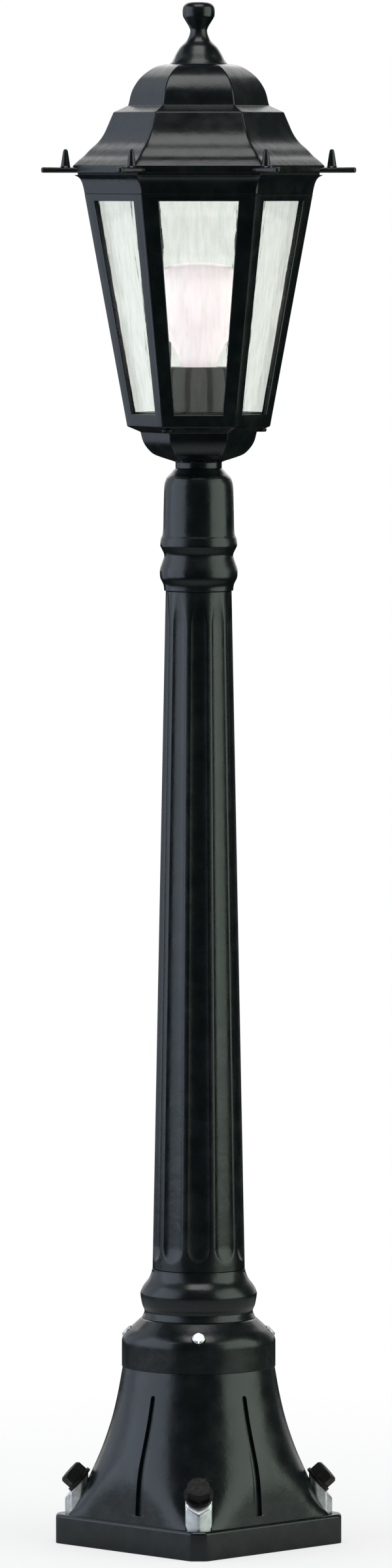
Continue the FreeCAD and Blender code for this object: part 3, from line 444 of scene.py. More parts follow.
def black_paint():
    """Black gloss paint on cast aluminium: dark with a green-blue cast, slightly uneven under
    its gloss where the sand mould was, with a fine orange peel."""
    made, tree = new_material("black_paint_on_casting")
    cloud = noise(tree, 14.0, 4.0)
    peel = noise(tree, 1.6, 2.0)
    mould = noise(tree, 9.0, 2.0)
    colour = tints(tree, cloud, (0.3, "030a0b"), (0.55, "060d0e"), (0.75, "0b1414"))
    rough = ramp(tree, cloud, 0.3, 0.7, 0.22, 0.32)
    finished(tree, {"Metallic": 0.0, "IOR": 1.52},
             {"Base Color": colour, "Roughness": rough,
              "Normal": bumped(tree, (mould, 0.15), (peel, 0.03))})
    return made


def dark_steel():
    """Blackened steel of the bolts: brown-black, with rust starting in its pores."""
    made, tree = new_material("blackened_steel")
    cloud = noise(tree, 3.0, 5.0)
    colour = tints(tree, cloud, (0.35, "0f1011"), (0.6, "1b1816"), (0.8, "35271d"))
    finished(tree, {"Metallic": 0.6},
             {"Base Color": colour, "Roughness": ramp(tree, cloud, 0.3, 0.7, 0.35, 0.6),
              "Normal": bumped(tree, (noise(tree, 0.9, 2.0), 0.04))})
    return made


def zinc_plate():
    """Bright zinc plating on steel: pale grey, fine scratches, a faint cloudy bloom. The
    scratches are drawn 0.2 mm wide, coarser than real ones, so that they show close up."""
    made, tree = new_material("zinc_plated_steel")
    cloud = noise(tree, 4.0, 4.0)
    scratch = noise(tree, 1.2, 3.0, (1, 6, 1))
    colour = tints(tree, cloud, (0.3, "c9ccce"), (0.7, "eceeee"))
    finished(tree, {"Metallic": 1.0},
             {"Base Color": colour, "Roughness": ramp(tree, scratch, 0.3, 0.7, 0.28, 0.42),
              "Normal": bumped(tree, (scratch, 0.01))})
    return made


def rolled_glass():
    """Rolled window glass: clear with a grey-green cast and a fine vertical ripple, a shade
    darker where the ripple is thick. Its shadow is light, so that the lamp behind it is lit
    as through a real pane."""
    made, tree = new_material("rolled_glass")
    ripple = noise(tree, 3.0, 2.0, (1, 1, 0.1))
    cast = tints(tree, ripple, (0.35, "fdfefc"), (0.65, "eef3ed"))
    glass = add(tree, "ShaderNodeBsdfPrincipled",
                {"Transmission Weight": 1.0, "IOR": 1.5, "Roughness": 0.04},
                {"Base Color": cast, "Normal": bumped(tree, (ripple, 0.05))})
    clear = add(tree, "ShaderNodeBsdfTransparent", {"Color": linear("f2f6f2")})
    path = add(tree, "ShaderNodeLightPath")
    mixed = add(tree, "ShaderNodeMixShader", links={"Fac": path.outputs["Is Shadow Ray"],
                                                    1: glass.outputs["BSDF"],
                                                    2: clear.outputs["BSDF"]})
    add(tree, "ShaderNodeOutputMaterial", links={"Surface": mixed.outputs[0]})
    return made


def opal_glass():
    """Opal lamp glass: milky white with a faint pink warmth, lit through from all sides, with a
    faint painted glow of its own.
    """
    made, tree = new_material("opal_glass")
    cloud = noise(tree, 12.0, 2.0)
    colour = tints(tree, cloud, (0.3, "f2e9eb"), (0.7, "eee3e6"))
    finished(tree, {"Roughness": 0.16, "IOR": 1.5, "Subsurface Weight": 0.6,
                    "Subsurface Scale": 0.008, "Subsurface Radius": (1.0, 0.9, 0.92),
                    # The emission is painted light: the unlit glass glows a little so that it reads
                    # whiter.
                    "Emission Strength": 0.355, "Emission Color": linear("fff7fc")},
             {"Base Color": colour})
    return made


def phenolic():
    """Moulded black phenolic of the lampholder: brown-black and softly glossy."""
    made, tree = new_material("moulded_phenolic")
    cloud = noise(tree, 5.0, 3.0)
    finished(tree, {"IOR": 1.6},
             {"Base Color": tints(tree, cloud, (0.3, "050505"), (0.7, "0c0b0b")),
              "Roughness": ramp(tree, cloud, 0.3, 0.7, 0.14, 0.22),
              "Normal": bumped(tree, (noise(tree, 1.0), 0.01))})
    return made


def plain_metal(name, dark, light, rough, grain):
    """Bare metal with a cloudy tarnish and grains of a size in millimetres."""
    made, tree = new_material(name)
    cloud = noise(tree, grain, 4.0)
    finished(tree, {"Metallic": 1.0},
             {"Base Color": tints(tree, cloud, (0.3, dark), (0.7, light)),
              "Roughness": ramp(tree, cloud, 0.3, 0.7, rough, rough + 0.15),
              "Normal": bumped(tree, (noise(tree, grain / 4), 0.01))})
    return made


def plain_finish(name, dark, light, rough, grain, depth=0.02):
    """Plastic, rubber or ceramic with a faint mottle of a size in millimetres."""
    made, tree = new_material(name)
    cloud = noise(tree, grain, 3.0)
    finished(tree, {},
             {"Base Color": tints(tree, cloud, (0.3, dark), (0.7, light)),
              "Roughness": ramp(tree, cloud, 0.3, 0.7, rough, rough + 0.1),
              "Normal": bumped(tree, (noise(tree, grain / 3), depth))})
    return made


MATERIALS = {
    "black_casting": black_paint(),
    "black_steel": dark_steel(),
    "zinc": zinc_plate(),
    "pane_glass": rolled_glass(),
    "opal_glass": opal_glass(),
    "lamp_metal": plain_metal("rolled_aluminium", "b9bbbd", "dcdddf", 0.22, 4.0),
    "lamp_insulation": plain_finish("black_glass", "0a0a0c", "161619", 0.1, 3.0),
    "brass": plain_metal("plain_brass", "a9853a", "d0ad5c", 0.25, 5.0),
    "black_phenolic": phenolic(),
    "ceramic": plain_finish("glazed_porcelain", "e6e1d6", "f1eee6", 0.12, 6.0),
    "rubber": plain_finish("black_rubber", "0c0c0c", "1b1b1b", 0.6, 2.0, 0.05),
    "lead_sheath": plain_finish("grey_sheath", "b4b4ae", "c6c6c0", 0.45, 5.0),
    "white_nylon": plain_finish("white_nylon", "dcdcd6", "e9e9e4", 0.4, 4.0),
}


# Plinth
def plinth_grid():
    """Square with its corners cut flat: rows are the section's outline, softened, and the
    reach is the p-norm of four sides and four facets. The cable hole's rows are round."""
    wall, side, hole, chamfer, sharpness = 5.0, 76.5, 12.0, 1.6, 190
    facet = span("plinth")[1][0]
    top = PLINTH_TOP
    outline = np.array([(hole, top - wall), (side - wall, top - wall), (side - wall, 0),
                        (side, 0), (side, top - chamfer), (side - chamfer, top),
                        (hole, top)])
    outline = softened(outline, 0.8)
    angles = side_angles(4, 60, 0.85)
    size = outline[:, :1]
    square = np.clip((size - hole) / (side - wall - hole), 0, 1)
    cut = np.maximum(facet - side + size, size)
    distance = np.hstack([np.repeat(size, 4, axis=1), np.repeat(cut, 4, axis=1)])
    normals = np.concatenate([BASE_FACES, BASE_CORNERS])
    cosines = np.clip(np.cos(angles[:, None] - normals), 0, None)
    terms = cosines[None] / distance[:, None, :]
    peak = terms.max(axis=2, keepdims=True)
    norm = peak[..., 0] * ((terms / peak) ** sharpness).sum(axis=2) ** (1 / sharpness)
    return lofted(square / norm + (1 - square) * size, outline[:, 1], angles)


# Bell base
def bell_curves(heights):
    """The round bell's radius and the distance of the foot's sides at each height."""
    flare = bend((BELL_WAIST, BAND_LOW), (BELL_FOOT, PLINTH_TOP), BELL_ROUND_SHARES, 60)[::-1]
    shoulder = bend((BELL_RIM, BELL_TOP), (BELL_WAIST + BAND_STEP, BAND_HIGH),
                    SHOULDER_SHARES, 30)[::-1]
    curve = np.vstack([flare, [(BELL_WAIST + BAND_STEP, BAND_LOW + BAND_EDGE)], shoulder])
    sides = bend((SIDE_WAIST, BAND_LOW), (SIDE_FOOT, PLINTH_TOP), BELL_FACE_SHARES, 60)[::-1]
    return (np.interp(heights, curve[:, 1], curve[:, 0]),
            np.interp(heights, sides[:, 1], sides[:, 0]))


def bell_cuts(heights):
    """Per row: the slit's half width, whether the slit is there, the corner cut's half width
    and how far from the axis its floor is. The slit ends in a half circle. The corner is cut
    upright for the clamp below the bolt's tilted seat, and by a tilted round seat for the
    locking screw; elsewhere its columns keep a spare width and cut nothing."""
    wide, slim = SLIT_HALVES
    slit = np.interp(heights, [SLIT_LOW, SLIT_HIGH], [wide, slim])
    over = np.clip((heights - SLIT_HIGH) / slim, 0, 0.98)
    inside = (heights > SLIT_LOW) & (heights < SLIT_HIGH + slim)
    slit = np.where(inside, slit * np.sqrt(1 - over ** 2), slit)
    least, spare = 1.0, 4.0
    up = heights - LOCK_HEIGHT
    lock = np.sqrt(np.clip(LOCK_SEAT ** 2 - 2 * up ** 2, least, None))
    by_clamp = heights < CLAMP_TOP
    by_lock = np.abs(up) < LOCK_SEAT / math.sqrt(2)
    zone = np.where(by_clamp, CLAMP_HALF + FIT, np.where(by_lock, lock, spare))
    limit = np.where(by_clamp, CLAMP_BACK, np.where(by_lock, LOCK_REACH - up, BEYOND))
    return slit, inside, zone, limit


def bell_grid():
    """Round bell whose foot a square cuts: the reach is the smaller of the bell's radius and
    the side's distance over the cosine from its middle, blended where they meet. A quarter
    runs from the front corner to a side corner. Columns follow the edges of the slit and of
    the cuts in both corners, and these sink straight towards the axis. Rows go up the
    outside, over the rounded rim and down the inside."""
    edge, slit_end = 0.1, SLIT_HIGH + SLIT_HALVES[1]
    rim_low, rim_edge, rim_insets = BELL_TOP - 0.7, BELL_TOP - 0.2, (0.25, 0.8)
    marks = [PLINTH_TOP, SLIT_LOW - edge, SLIT_LOW + edge, CLAMP_TOP - edge, CLAMP_TOP + edge,
             SLIT_HIGH, slit_end - edge / 2, slit_end + edge, BAND_LOW, BAND_LOW + BAND_EDGE,
             BAND_HIGH, rim_low]
    rows = stations(marks, [5, 1, 20, 1, 22, 6, 1, 6, 1, 8, 30])
    inner = np.linspace(BELL_TOP - BELL_WALL, PLINTH_TOP, 9)
    heights = np.concatenate([rows, [rim_edge, BELL_TOP, BELL_TOP], inner[:1], inner])
    circle, side = bell_curves(heights)
    first = len(rows)
    circle[first:first + 2] -= rim_insets
    circle[first + 2:first + 4] = SPIGOT
    circle[first + 4:] = np.minimum(circle[first + 4:] - BELL_WALL, CLAMP_BACK - BELL_WALL)
    side[first + 4:] -= BELL_WALL
    slit, sunk, zone, limit = bell_cuts(heights)
    sunk[first:] = False
    limit[first:] = BEYOND
    slit_places = np.array([0, 0.35, 0.7, 0.85, 0.93, 1.0, 1.1])
    slit_depths = np.array([1, 1, 1, 1, 0.5, 0.06, 0])
    slit_places = np.concatenate([-slit_places[:0:-1], slit_places])
    slit_depths = np.concatenate([slit_depths[:0:-1], slit_depths])
    zone_places = np.array([0, 0.35, 0.7, 0.975, 1.0, 1.12])
    zone_depths = np.array([1, 1, 1, 1, 0, 0])
    around = np.arcsin(slit / np.minimum(circle, side))[:, None] * slit_places + SLIT_TURN
    near = np.arcsin(zone / circle)[:, None] * zone_places
    far = math.pi / 2 - near[:, ::-1]
    share = np.linspace(0, 1, 14)[1:-1]
    angles = np.hstack([near, near[:, -1:] + (around[:, :1] - near[:, -1:]) * share, around,
                        around[:, -1:] + (far[:, :1] - around[:, -1:]) * share, far])
    blank = np.zeros(len(share) + len(zone_places))
    slit_depth = np.concatenate([blank, slit_depths, blank]) * sunk[:, None]
    zone_depth = np.concatenate([zone_depths, np.zeros(angles.shape[1] - 2 * len(zone_places)),
                                 zone_depths[::-1]])
    turn = np.abs(angles - math.pi / 4)
    reach = soft_min(circle[:, None], side[:, None] / np.cos(turn), SIDE_BLEND)
    reach = reach - slit_depth * SLIT_DEPTH
    cut = limit[:, None] / np.cos(math.pi / 4 - turn)
    reach = reach - zone_depth * np.maximum(reach - cut, 0)
    return repeated(reach, heights, angles, 2, math.pi / 2)


# Shaft
def shaft_grid():
    """Cone less ten flutes. At each height a flute is a circle beside the cone, and the reach
    is the smaller of the cone and the circle's near side along the ray: a cos t less the
    root of r squared less (a sin t) squared. The circle is a ball's below the flute's foot
    and a long cone's above its head. Columns follow the flutes' edges."""
    half_turn = math.pi / FLUTES
    ball_reach, ball_middle, cone_reach, run_in, end = 10.6, 6.0, 20.6, 10.0, 0.5
    marks = [COLLAR_TOP + end, FLUTE_LOW - ball_reach, FLUTE_LOW - ball_middle, FLUTE_LOW,
             FLUTE_LOW + run_in, FLUTE_HIGH - run_in, FLUTE_HIGH, FLUTE_HIGH + cone_reach,
             SHAFT_TOP - end]
    heights = stations(marks, [4, 10, 6, 4, 40, 4, 18, 1])
    way = (heights - COLLAR_TOP) / (SHAFT_TOP - COLLAR_TOP)
    cone = SHAFT_FOOT + (SHAFT_HEAD - SHAFT_FOOT) * way
    along = (heights - FLUTE_LOW) / (FLUTE_HIGH - FLUTE_LOW)
    size = FLUTE_SIZES[0] + (FLUTE_SIZES[1] - FLUTE_SIZES[0]) * np.clip(along, 0, 1)
    below = np.clip(FLUTE_LOW - heights, 0, FLUTE_SIZES[0])
    size = np.where(along < 0, np.sqrt(FLUTE_SIZES[0] ** 2 - below ** 2), size)
    size = np.where(along > 1, size * (1 - (heights - FLUTE_HIGH) / FLUTE_POINT), size)
    ends = np.interp([FLUTE_LOW, FLUTE_HIGH], heights, cone)
    beside = ends + np.array(FLUTE_SIZES) - np.array(FLUTE_DEPTHS)
    axis = beside[0] + (beside[1] - beside[0]) * along
    edge = (axis ** 2 + cone ** 2 - size ** 2) / (2 * axis * cone)
    edge = np.maximum(np.arccos(np.clip(edge, -1, 1)), 0.03)[:, None]
    places = np.array([0, 0.2, 0.4, 0.58, 0.72, 0.83, 0.91, 0.96, 1.0])
    lands = np.array([0.12, 0.4, 0.75, 1.0])
    angles = np.hstack([edge * places, edge + (half_turn - edge) * lands])
    inside = size[:, None] ** 2 - (axis[:, None] * np.sin(angles)) ** 2
    near = axis[:, None] * np.cos(angles) - np.sqrt(np.clip(inside, 0, None))
    reach = np.where(inside > 0, soft_min(cone[:, None], near, 0.25), cone[:, None])
    low = COLLAR_TOP - FOOT_SPIGOT_LENGTH
    high = SHAFT_TOP + HEAD_SPIGOT_LENGTH
    foot = [(FOOT_SPIGOT, low), (FOOT_SPIGOT, COLLAR_TOP), (SHAFT_FOOT - SHAFT_CHAMFER, COLLAR_TOP)]
    head = [(SHAFT_HEAD - SHAFT_CHAMFER, SHAFT_TOP), (HEAD_SPIGOT, SHAFT_TOP), (HEAD_SPIGOT, high),
            (HEAD_BORE, high), (HEAD_BORE, SHAFT_TOP), (FOOT_BORE, COLLAR_TOP), (FOOT_BORE, low)]
    rows = [np.full((1, angles.shape[1]), radius) for radius, _ in foot + head]
    levels = [height for _, height in foot + head]
    split = len(foot)
    reach = np.vstack(rows[:split] + [reach] + rows[split:])
    heights = np.concatenate([levels[:split], heights, levels[split:]])
    angles = np.vstack([angles[:1]] * split + [angles] + [angles[-1:]] * len(head))
    return repeated(reach, heights, angles, FLUTES, -math.pi / 2)


# Turned pieces
def collar_grid():
    """Turned loop: spigot in the bell, belly and neck outside, and the socket in which the
    shaft's foot stands."""
    neck, belly, bore, low = 33.3, 41.6, 24.5, BELL_TOP - 34.0
    socket, floor = FOOT_SPIGOT + FIT, COLLAR_TOP - FOOT_SPIGOT_LENGTH - FIT
    outer = bend((neck, BELL_TOP), (belly, COLLAR_TOP), COLLAR_SHARES, 60)
    loop = np.vstack([[(bore, low), (SPIGOT, low), (SPIGOT, BELL_TOP)], outer,
                      [(socket, COLLAR_TOP), (socket, floor), (bore, floor)]])
    return turned(softened(loop, 0.6))


def sleeve_grid():
    """Turned loop: beads and stem outside, the top with the tie rod's hole, and the socket
    that takes the shaft's head."""
    mouth, bead, ceiling = 16.9, 27.7, SLEEVE_TOP - 9.0
    socket, step = HEAD_SPIGOT + FIT, SHAFT_TOP + HEAD_SPIGOT_LENGTH + FIT
    outer = bend((mouth, SHAFT_TOP), (bead, SLEEVE_TOP), SLEEVE_SHARES, 110)
    loop = np.vstack([[(socket, step), (socket, SHAFT_TOP)], outer,
                      [(ROD_HOLE, SLEEVE_TOP), (ROD_HOLE, ceiling), (HEAD_BORE, ceiling),
                       (HEAD_BORE, step)]])
    return turned(softened(loop, 0.5))


def finial_grid():
    """Turned outline from the middle of its flat foot up to the middle of its crown."""
    reach = span("finial")[1][0]
    curve = bend((0, ROOF_TOP), (reach, FINIAL_TOP), FINIAL_SHARES, 70)
    loop = np.vstack([[(0, ROOF_TOP)], curve, [(0, FINIAL_TOP)]])
    return turned(softened(loop, 1.2, closed=False))


def holder_grid():
    """Turned loop: upright outside, drawn in to the rim, with a narrow bore for the shell and
    a wide one below it for the holder's base."""
    low, high = span("holder_body")[0][2], span("holder_body")[1][2]
    reach, rim, bore, base = 24.0, 22.8, 14.4, 19.1
    taper_low, base_top = high - 9.0, low + 14.1
    loop = np.array([(base, low), (reach, low), (reach, taper_low), (rim, high), (bore, high),
                     (bore, base_top), (base, base_top)])
    return turned(softened(loop, 1.4, 7))


def lamp_grid():
    """Lamp glass: from the crown down the inside, round the neck's foot and up the outside."""
    low, high = span("lamp_glass")[0][2], span("lamp_glass")[1][2]
    reach, wall = 37.0, 1.0
    outer = bend((0, low), (reach, high), BULB_SHARES, 90)
    outer[-1, 0] = 0
    inner = walled(outer, wall)
    inner[0] = (outer[0, 0] - wall, low)
    inner[-1] = (0, high - wall)
    inner[:, 0] = np.maximum(inner[:, 0], 0)
    return turned(np.vstack([inner[::-1], outer]))


# Lantern base and frame
def bowl_grid():
    """Round neck that becomes a six-sided bowl: a row's share of a circle falls from one to
    nothing as its reach grows past the neck."""
    neck, foot, rim, mouth, well = 16.5, 17.5, 41.6, 35.6, 20.0
    neck_top, bowl_low, flange = SLEEVE_TOP + 4.6, SLEEVE_TOP + 5.0, FRAME_LOW - 4.0
    plate, floor = SLEEVE_TOP + 20.0, SLEEVE_TOP + 11.0
    round_reach, blend = neck + 0.2, 2.2
    bowl = bend((foot, bowl_low), (rim, flange), BOWL_SHARES, 40)
    loop = np.vstack([[(ROD_HOLE, SLEEVE_TOP), (neck, SLEEVE_TOP), (neck, neck_top)], bowl,
                      [(FRAME_FOOT, FRAME_LOW), (mouth, FRAME_LOW), (mouth, plate),
                       (well, plate), (well, floor), (ROD_HOLE, floor)]])
    loop = softened(loop, 0.6)
    grid = six_sided(loop)
    circle = lofted(loop[:, :1], loop[:, 1], side_angles(6, 24))
    share = 1 - smooth_step((loop[:, 0] - round_reach) / blend)
    return grid + (circle - grid) * share[:, None, None]


def frame_corner(height):
    """Corner reach of the frame's leaning sides: a straight line from the foot to the cove."""
    return FRAME_FOOT + (FRAME_HEAD - FRAME_FOOT) * (height - FRAME_LOW) / (COVE_LOW - FRAME_LOW)


def window_grid(spin):
    """Moulding round a window. Each row is a four-sided loop a share of the way from the
    window's edge to the side's own edge, at a depth behind the side's leaning face; the
    outermost rows meet the next side's on the plane between the two."""
    share = np.array([1.0, 0.97, 0.93, 0.1, 0.05, 0.015, 0.0, 0.0, 0.02, 0.06, 1.0])[:, None]
    depth = np.array([0.35, 0.1, 0.0, 0.0, 0.06, 0.3, 0.7, 3.5, 3.9, 4.0, 4.0])[:, None]
    per_side = 8
    along = np.linspace(0, 1, per_side + 1)[:-1]
    flat = np.zeros(per_side)
    across = np.concatenate([2 * along - 1, flat + 1, 1 - 2 * along, flat - 1])
    up = np.concatenate([flat, along, flat + 1, 1 - along])
    low = WINDOW_LOW + (FRAME_LOW - WINDOW_LOW) * share
    high = WINDOW_HIGH + (COVE_LOW - WINDOW_HIGH) * share
    level = low + (high - low) * up
    half = frame_corner(level) / 2
    bars = np.interp(level, [WINDOW_LOW, WINDOW_HIGH], BAR_WIDTHS)
    half = half - bars * (1 - share) - depth * share * math.tan(math.pi / 6)
    grid = np.stack([frame_corner(level) * HEX_FLAT - depth, across * half, level], axis=-1)
    return placed(grid, spin=spin)


def head_grid():
    """Six-sided loop round the frame's mouth: the cove outside, the mouth's wall inside and a
    flange that reaches in below it."""
    inner, flange, mouth = FRAME_HEAD - FRAME_WALL / HEX_FLAT, 62.0, 78.0
    low = FRAME_TOP - 11.5
    high = low + 4.0
    cove = bend((FRAME_HEAD, COVE_LOW), (COVE_CORNER, FRAME_TOP), COVE_SHARES, 24)
    loop = np.vstack([[(inner, COVE_LOW)], cove,
                      [(mouth, FRAME_TOP), (mouth, high), (flange, high), (flange, low),
                       (inner, low)]])
    return six_sided(softened(loop, 0.6))


def floor_grid():
    """Six-sided ledge that the panes stand on. Its outer edge ends inside the sides' wall."""
    hole, inset = 40.0, 1.0
    loop = np.array([(hole, FRAME_LOW), (FRAME_FOOT - inset, FRAME_LOW),
                     (frame_corner(PANE_LOW) - inset, PANE_LOW), (hole, PANE_LOW)])
    return six_sided(softened(loop, 0.5), per_side=12)


def lip_grid():
    """Six-sided low lip behind the panes' feet. Its own foot is sunk into the ledge."""
    wall, gap, low, high = 2.0, 0.3, PANE_LOW - 0.5, PANE_LOW + 2.5
    outer = frame_corner(PANE_LOW) - (FRAME_WALL + PANE_THICKNESS + gap) / HEX_FLAT - gap
    inner = outer - wall / HEX_FLAT
    loop = np.array([(inner, low), (outer, low), (outer, high), (inner, high)])
    return six_sided(softened(loop, 0.4), per_side=12)


def pane_grid(spin, phase):
    """Pane whose faces ripple as rolled glass does: each is a sum of three sine waves across
    it, whose places sway slowly up the pane. Its ends close to points."""
    across = np.linspace(-1, 1, 80)
    level = np.linspace(PANE_LOW, PANE_HIGH, 60)[:, None]
    ends = frame_corner(np.array([PANE_LOW, PANE_HIGH])) / 2 - BAR_WIDTHS + PANE_LAP
    half = np.interp(level, [PANE_LOW, PANE_HIGH], ends)

    def ripple(turn):
        place = across * half
        (slow, slow_length), (quick, quick_length) = RIPPLE_SWAYS
        sway = (slow * np.sin(TURN * level / slow_length + turn)
                + quick * np.sin(TURN * level / quick_length - turn))
        waves = [np.sin(TURN * (place + sway * lean) / length + turn * lean)
                 for length, lean in RIPPLE_WAVES]
        fade = np.sin(TURN * level / RIPPLE_FADE + turn)
        return RIPPLE_HEIGHT * (fade * waves[0] + waves[1] + waves[2]) + RIPPLE_DEPTH

    face = frame_corner(level) * HEX_FLAT - FRAME_WALL
    front = np.stack(np.broadcast_arrays(face - ripple(phase), across * half, level), axis=-1)
    back = np.stack(np.broadcast_arrays(face - PANE_THICKNESS + ripple(phase + 2),
                                        across * half, level), axis=-1)
    grid = np.concatenate([front, back[:, ::-1]], axis=1)
    foot, head = (np.broadcast_to(row.mean(axis=0), row.shape)[None]
                  for row in (grid[0], grid[-1]))
    return placed(np.concatenate([foot, grid, head]), spin=spin)


# Roof
def roof_grid():
    """Six-sided skirt and dome. The outside rises from the eave over the skirt, the step and
    the dome; the inside falls back a wall behind it to the mouth."""
    mouth, boss, hole = 80.0, 9.0, 3.1
    mouth_top, ceiling = ROOF_LOW + 1.5, ROOF_TOP - ROOF_WALL
    step, dome_foot, crown = (60.9, ROOF_LOW + 43.0), (50.5, ROOF_TOP - 29.4), (24.0, ROOF_TOP)
    boss_low = ceiling - 8.0
    skirt = bend((EAVE, ROOF_LOW + EAVE_HEIGHT), step, SKIRT_SHARES, 36)
    dome = bend(dome_foot, crown, DOME_SHARES, 36)
    under = walled(skirt, ROOF_WALL)
    under = under[under[:, 0] < mouth]
    over = walled(dome, ROOF_WALL)
    over = over[over[:, 1] < ceiling]
    inside = np.vstack([[(mouth, mouth_top)], under, over,
                        [(boss, ceiling), (boss, boss_low), (hole, boss_low)]])
    loop = np.vstack([[(mouth, ROOF_LOW), (EAVE, ROOF_LOW)], skirt, dome,
                      [(hole, ROOF_TOP)], inside[::-1]])
    return six_sided(softened(loop, 0.7), 120, 28)


def tip_grid(spin):
    """Flat tip: superellipse sections along X whose half width falls in a line to a round
    end. The first and last rows are points."""
    root, end, blunt, thick, wide = 77.0, 112.0, 2.2, 2.0, 6.5
    droop, power = 0.9, 0.6
    place = stations([root, EAVE, end - blunt, end - 0.2, end], [3, 12, 8, 4])
    half = np.interp(place, [root, EAVE, end - blunt], [wide, wide, blunt])
    past = np.clip((place - end + blunt) / blunt, 0, 1)
    half = half * np.sqrt(1 - past ** 2)
    rise = thick * np.sqrt(1 - droop * past ** 4)
    half[0] = rise[0] = rise[-1] = 0
    turn = even_angles(32)
    across = np.sign(np.cos(turn)) * np.abs(np.cos(turn)) ** power
    up = np.sign(np.sin(turn)) * np.abs(np.sin(turn)) ** power
    grid = np.stack([np.broadcast_to(place[:, None], (len(place), len(turn))),
                     half[:, None] * across, rise[:, None] * up + ROOF_LOW + thick], axis=-1)
    return placed(grid, spin=spin)


def nub_grid(spin):
    """Upright nub: its radius falls in a soft curve from its flared foot to its round top."""
    foot, reach = ROOF_LOW + 3.4, 94.6
    outline = through(np.array(NUB_OUTLINE) + (0, foot), 40)
    outline[0, 0] = outline[-1, 0] = 0
    outline[:, 0] = np.maximum(outline[:, 0], 0)
    return placed(turned(outline, 32), reach=reach, spin=spin)


# Fasteners of the base
def bolt_grid(spin):
    """Bolt with a round shank and a six-sided head: the head's reach is the smaller of the
    hexagon and of a cone that cuts off its top corners."""
    low, high, flat, shank, length = WASHER_HEIGHT, 11.0, 8.0, 4.0, 47.0
    crown, chamfer_rise, chamfer_inset = 7.74, 0.4, 0.3
    angles = side_angles(6, 12)
    hexagon = polygon(angles, HEX_FACES, 120) * flat
    heights = stations([low + chamfer_rise, high - 2, high], [3, 10])
    cone = 2 * flat - (2 * flat - crown) * (heights - low) / (high - low)
    head = soft_min(hexagon[None], cone[:, None], 0.25)
    rows = [0 * hexagon, 0 * hexagon + shank, 0 * hexagon + shank, hexagon - chamfer_inset]
    grid = lofted(np.vstack(rows + [head, 0 * hexagon]),
                  np.concatenate([[-length, -length, low, low], heights, [high]]), angles)
    return placed(grid, BOLT_TILT, SEAT_REACH, SEAT_HEIGHT, spin)


def washer_grid(spin):
    """Flat ring turned about a bolt's axis, on the bolt's tilted seat."""
    hole, rim, high = 4.1, 10.5, WASHER_HEIGHT
    loop = softened(np.array([(hole, 0), (rim, 0), (rim, high), (hole, high)]), 0.5)
    return placed(turned(loop, 64), BOLT_TILT, SEAT_REACH, SEAT_HEIGHT, spin)


def clamp_grid(spin):
    """Clamp under a bolt: upright sides on a seven-cornered plan, cut off by the bolt's tilted
    seat. The top rows draw in towards the middle to round the edge."""
    half, neck, heel, shoulder, nose = CLAMP_HALF, 6.5, 84.0, 91.5, 96.0
    plan = np.array([(CLAMP_BACK, -neck), (heel, -half), (shoulder, -half), (nose, 0),
                     (shoulder, half), (heel, half), (CLAMP_BACK, neck)])
    plan = softened(plan, 1.6, 6)
    middle = plan.mean(axis=0)
    shares = [0, 1, 1, 1, 0.99, 0.955, 0.9, 0]
    climbs = [0, 0, 0.5, 1, 1, 1, 1, 1]
    drops = [0, 0, 0, 1.3, 0.45, 0.1, 0, 0]
    rows = []
    for share, climb, drop in zip(shares, climbs, drops):
        points = middle + (plan - middle) * share
        top = SEAT_HEIGHT - (points[:, 0] - SEAT_REACH) * math.tan(BOLT_TILT) - drop
        rows.append(np.column_stack([points, PLINTH_TOP + (top - PLINTH_TOP) * climb]))
    return placed(np.stack(rows), spin=spin)


for name, grid, node in (("plinth_casting", plinth_grid, "plinth"),
                         ("bell_casting", bell_grid, "bell_base"),
                         ("collar_casting", collar_grid, "base_collar"),
                         ("fluted_shaft", shaft_grid, "post_shaft"),
                         ("sleeve_casting", sleeve_grid, "post_top"),
                         ("bowl_casting", bowl_grid, "lantern_base")):
    piece(name, [(grid(), True)], "black_casting", [node])
windows = [(window_grid(spin), True) for spin in HEX_FACES]
rings = [(head_grid(), True), (floor_grid(), True), (lip_grid(), True)]
piece("frame_casting", windows + rings, "black_casting", ["lantern_frame"])
tips = [(grid(spin), False) for spin in HEX_CORNERS for grid in (tip_grid, nub_grid)]
piece("roof_casting", [(roof_grid(), True)] + tips, "black_casting", ["roof"])
piece("finial_casting", [(finial_grid(), False)], "black_casting", ["finial"])
for number, (name, spin) in enumerate(zip(PANE_NAMES, HEX_FACES)):
    piece(name + "_pane", [(pane_grid(spin, RIPPLE_TURN * number), False)], "pane_glass", [name])
piece("opal_envelope", [(lamp_grid(), False)], "opal_glass", ["lamp_glass"])
piece("holder_sleeve", [(holder_grid(), True)], "black_phenolic", ["holder_body"])
piece("base_bolts", [(bolt_grid(spin), False) for spin in BASE_CORNERS], "black_steel",
      ["corner_bolts"])
piece("base_washers", [(washer_grid(spin), True) for spin in BASE_CORNERS], "black_steel",
      ["corner_washers"])
piece("base_clamps", [(clamp_grid(spin), False) for spin in BASE_CORNERS], "zinc",
      ["corner_clamps"])


# Camera, lamps and floor
def make_camera():
    """Camera at the photograph's distance and height, aimed at the middle of its frame."""
    distance, eye, aim, sideways, frame_height = 7200.0, 982.0, 544.0, -1.9, 1118.0
    lens = bpy.data.cameras.new("camera")
    lens.sensor_width = 36.0
    sight = math.hypot(distance, eye - aim)
    lens.lens = lens.sensor_width * sight / frame_height
    lens.clip_end = 200.0
    made = bpy.data.objects.new("camera", lens)
    bpy.context.scene.collection.objects.link(made)
    made.location = (sideways * MM, -distance * MM, eye * MM)
    made.rotation_euler = (math.pi / 2 - math.atan2(eye - aim, distance), 0, 0)
    bpy.context.scene.camera = made


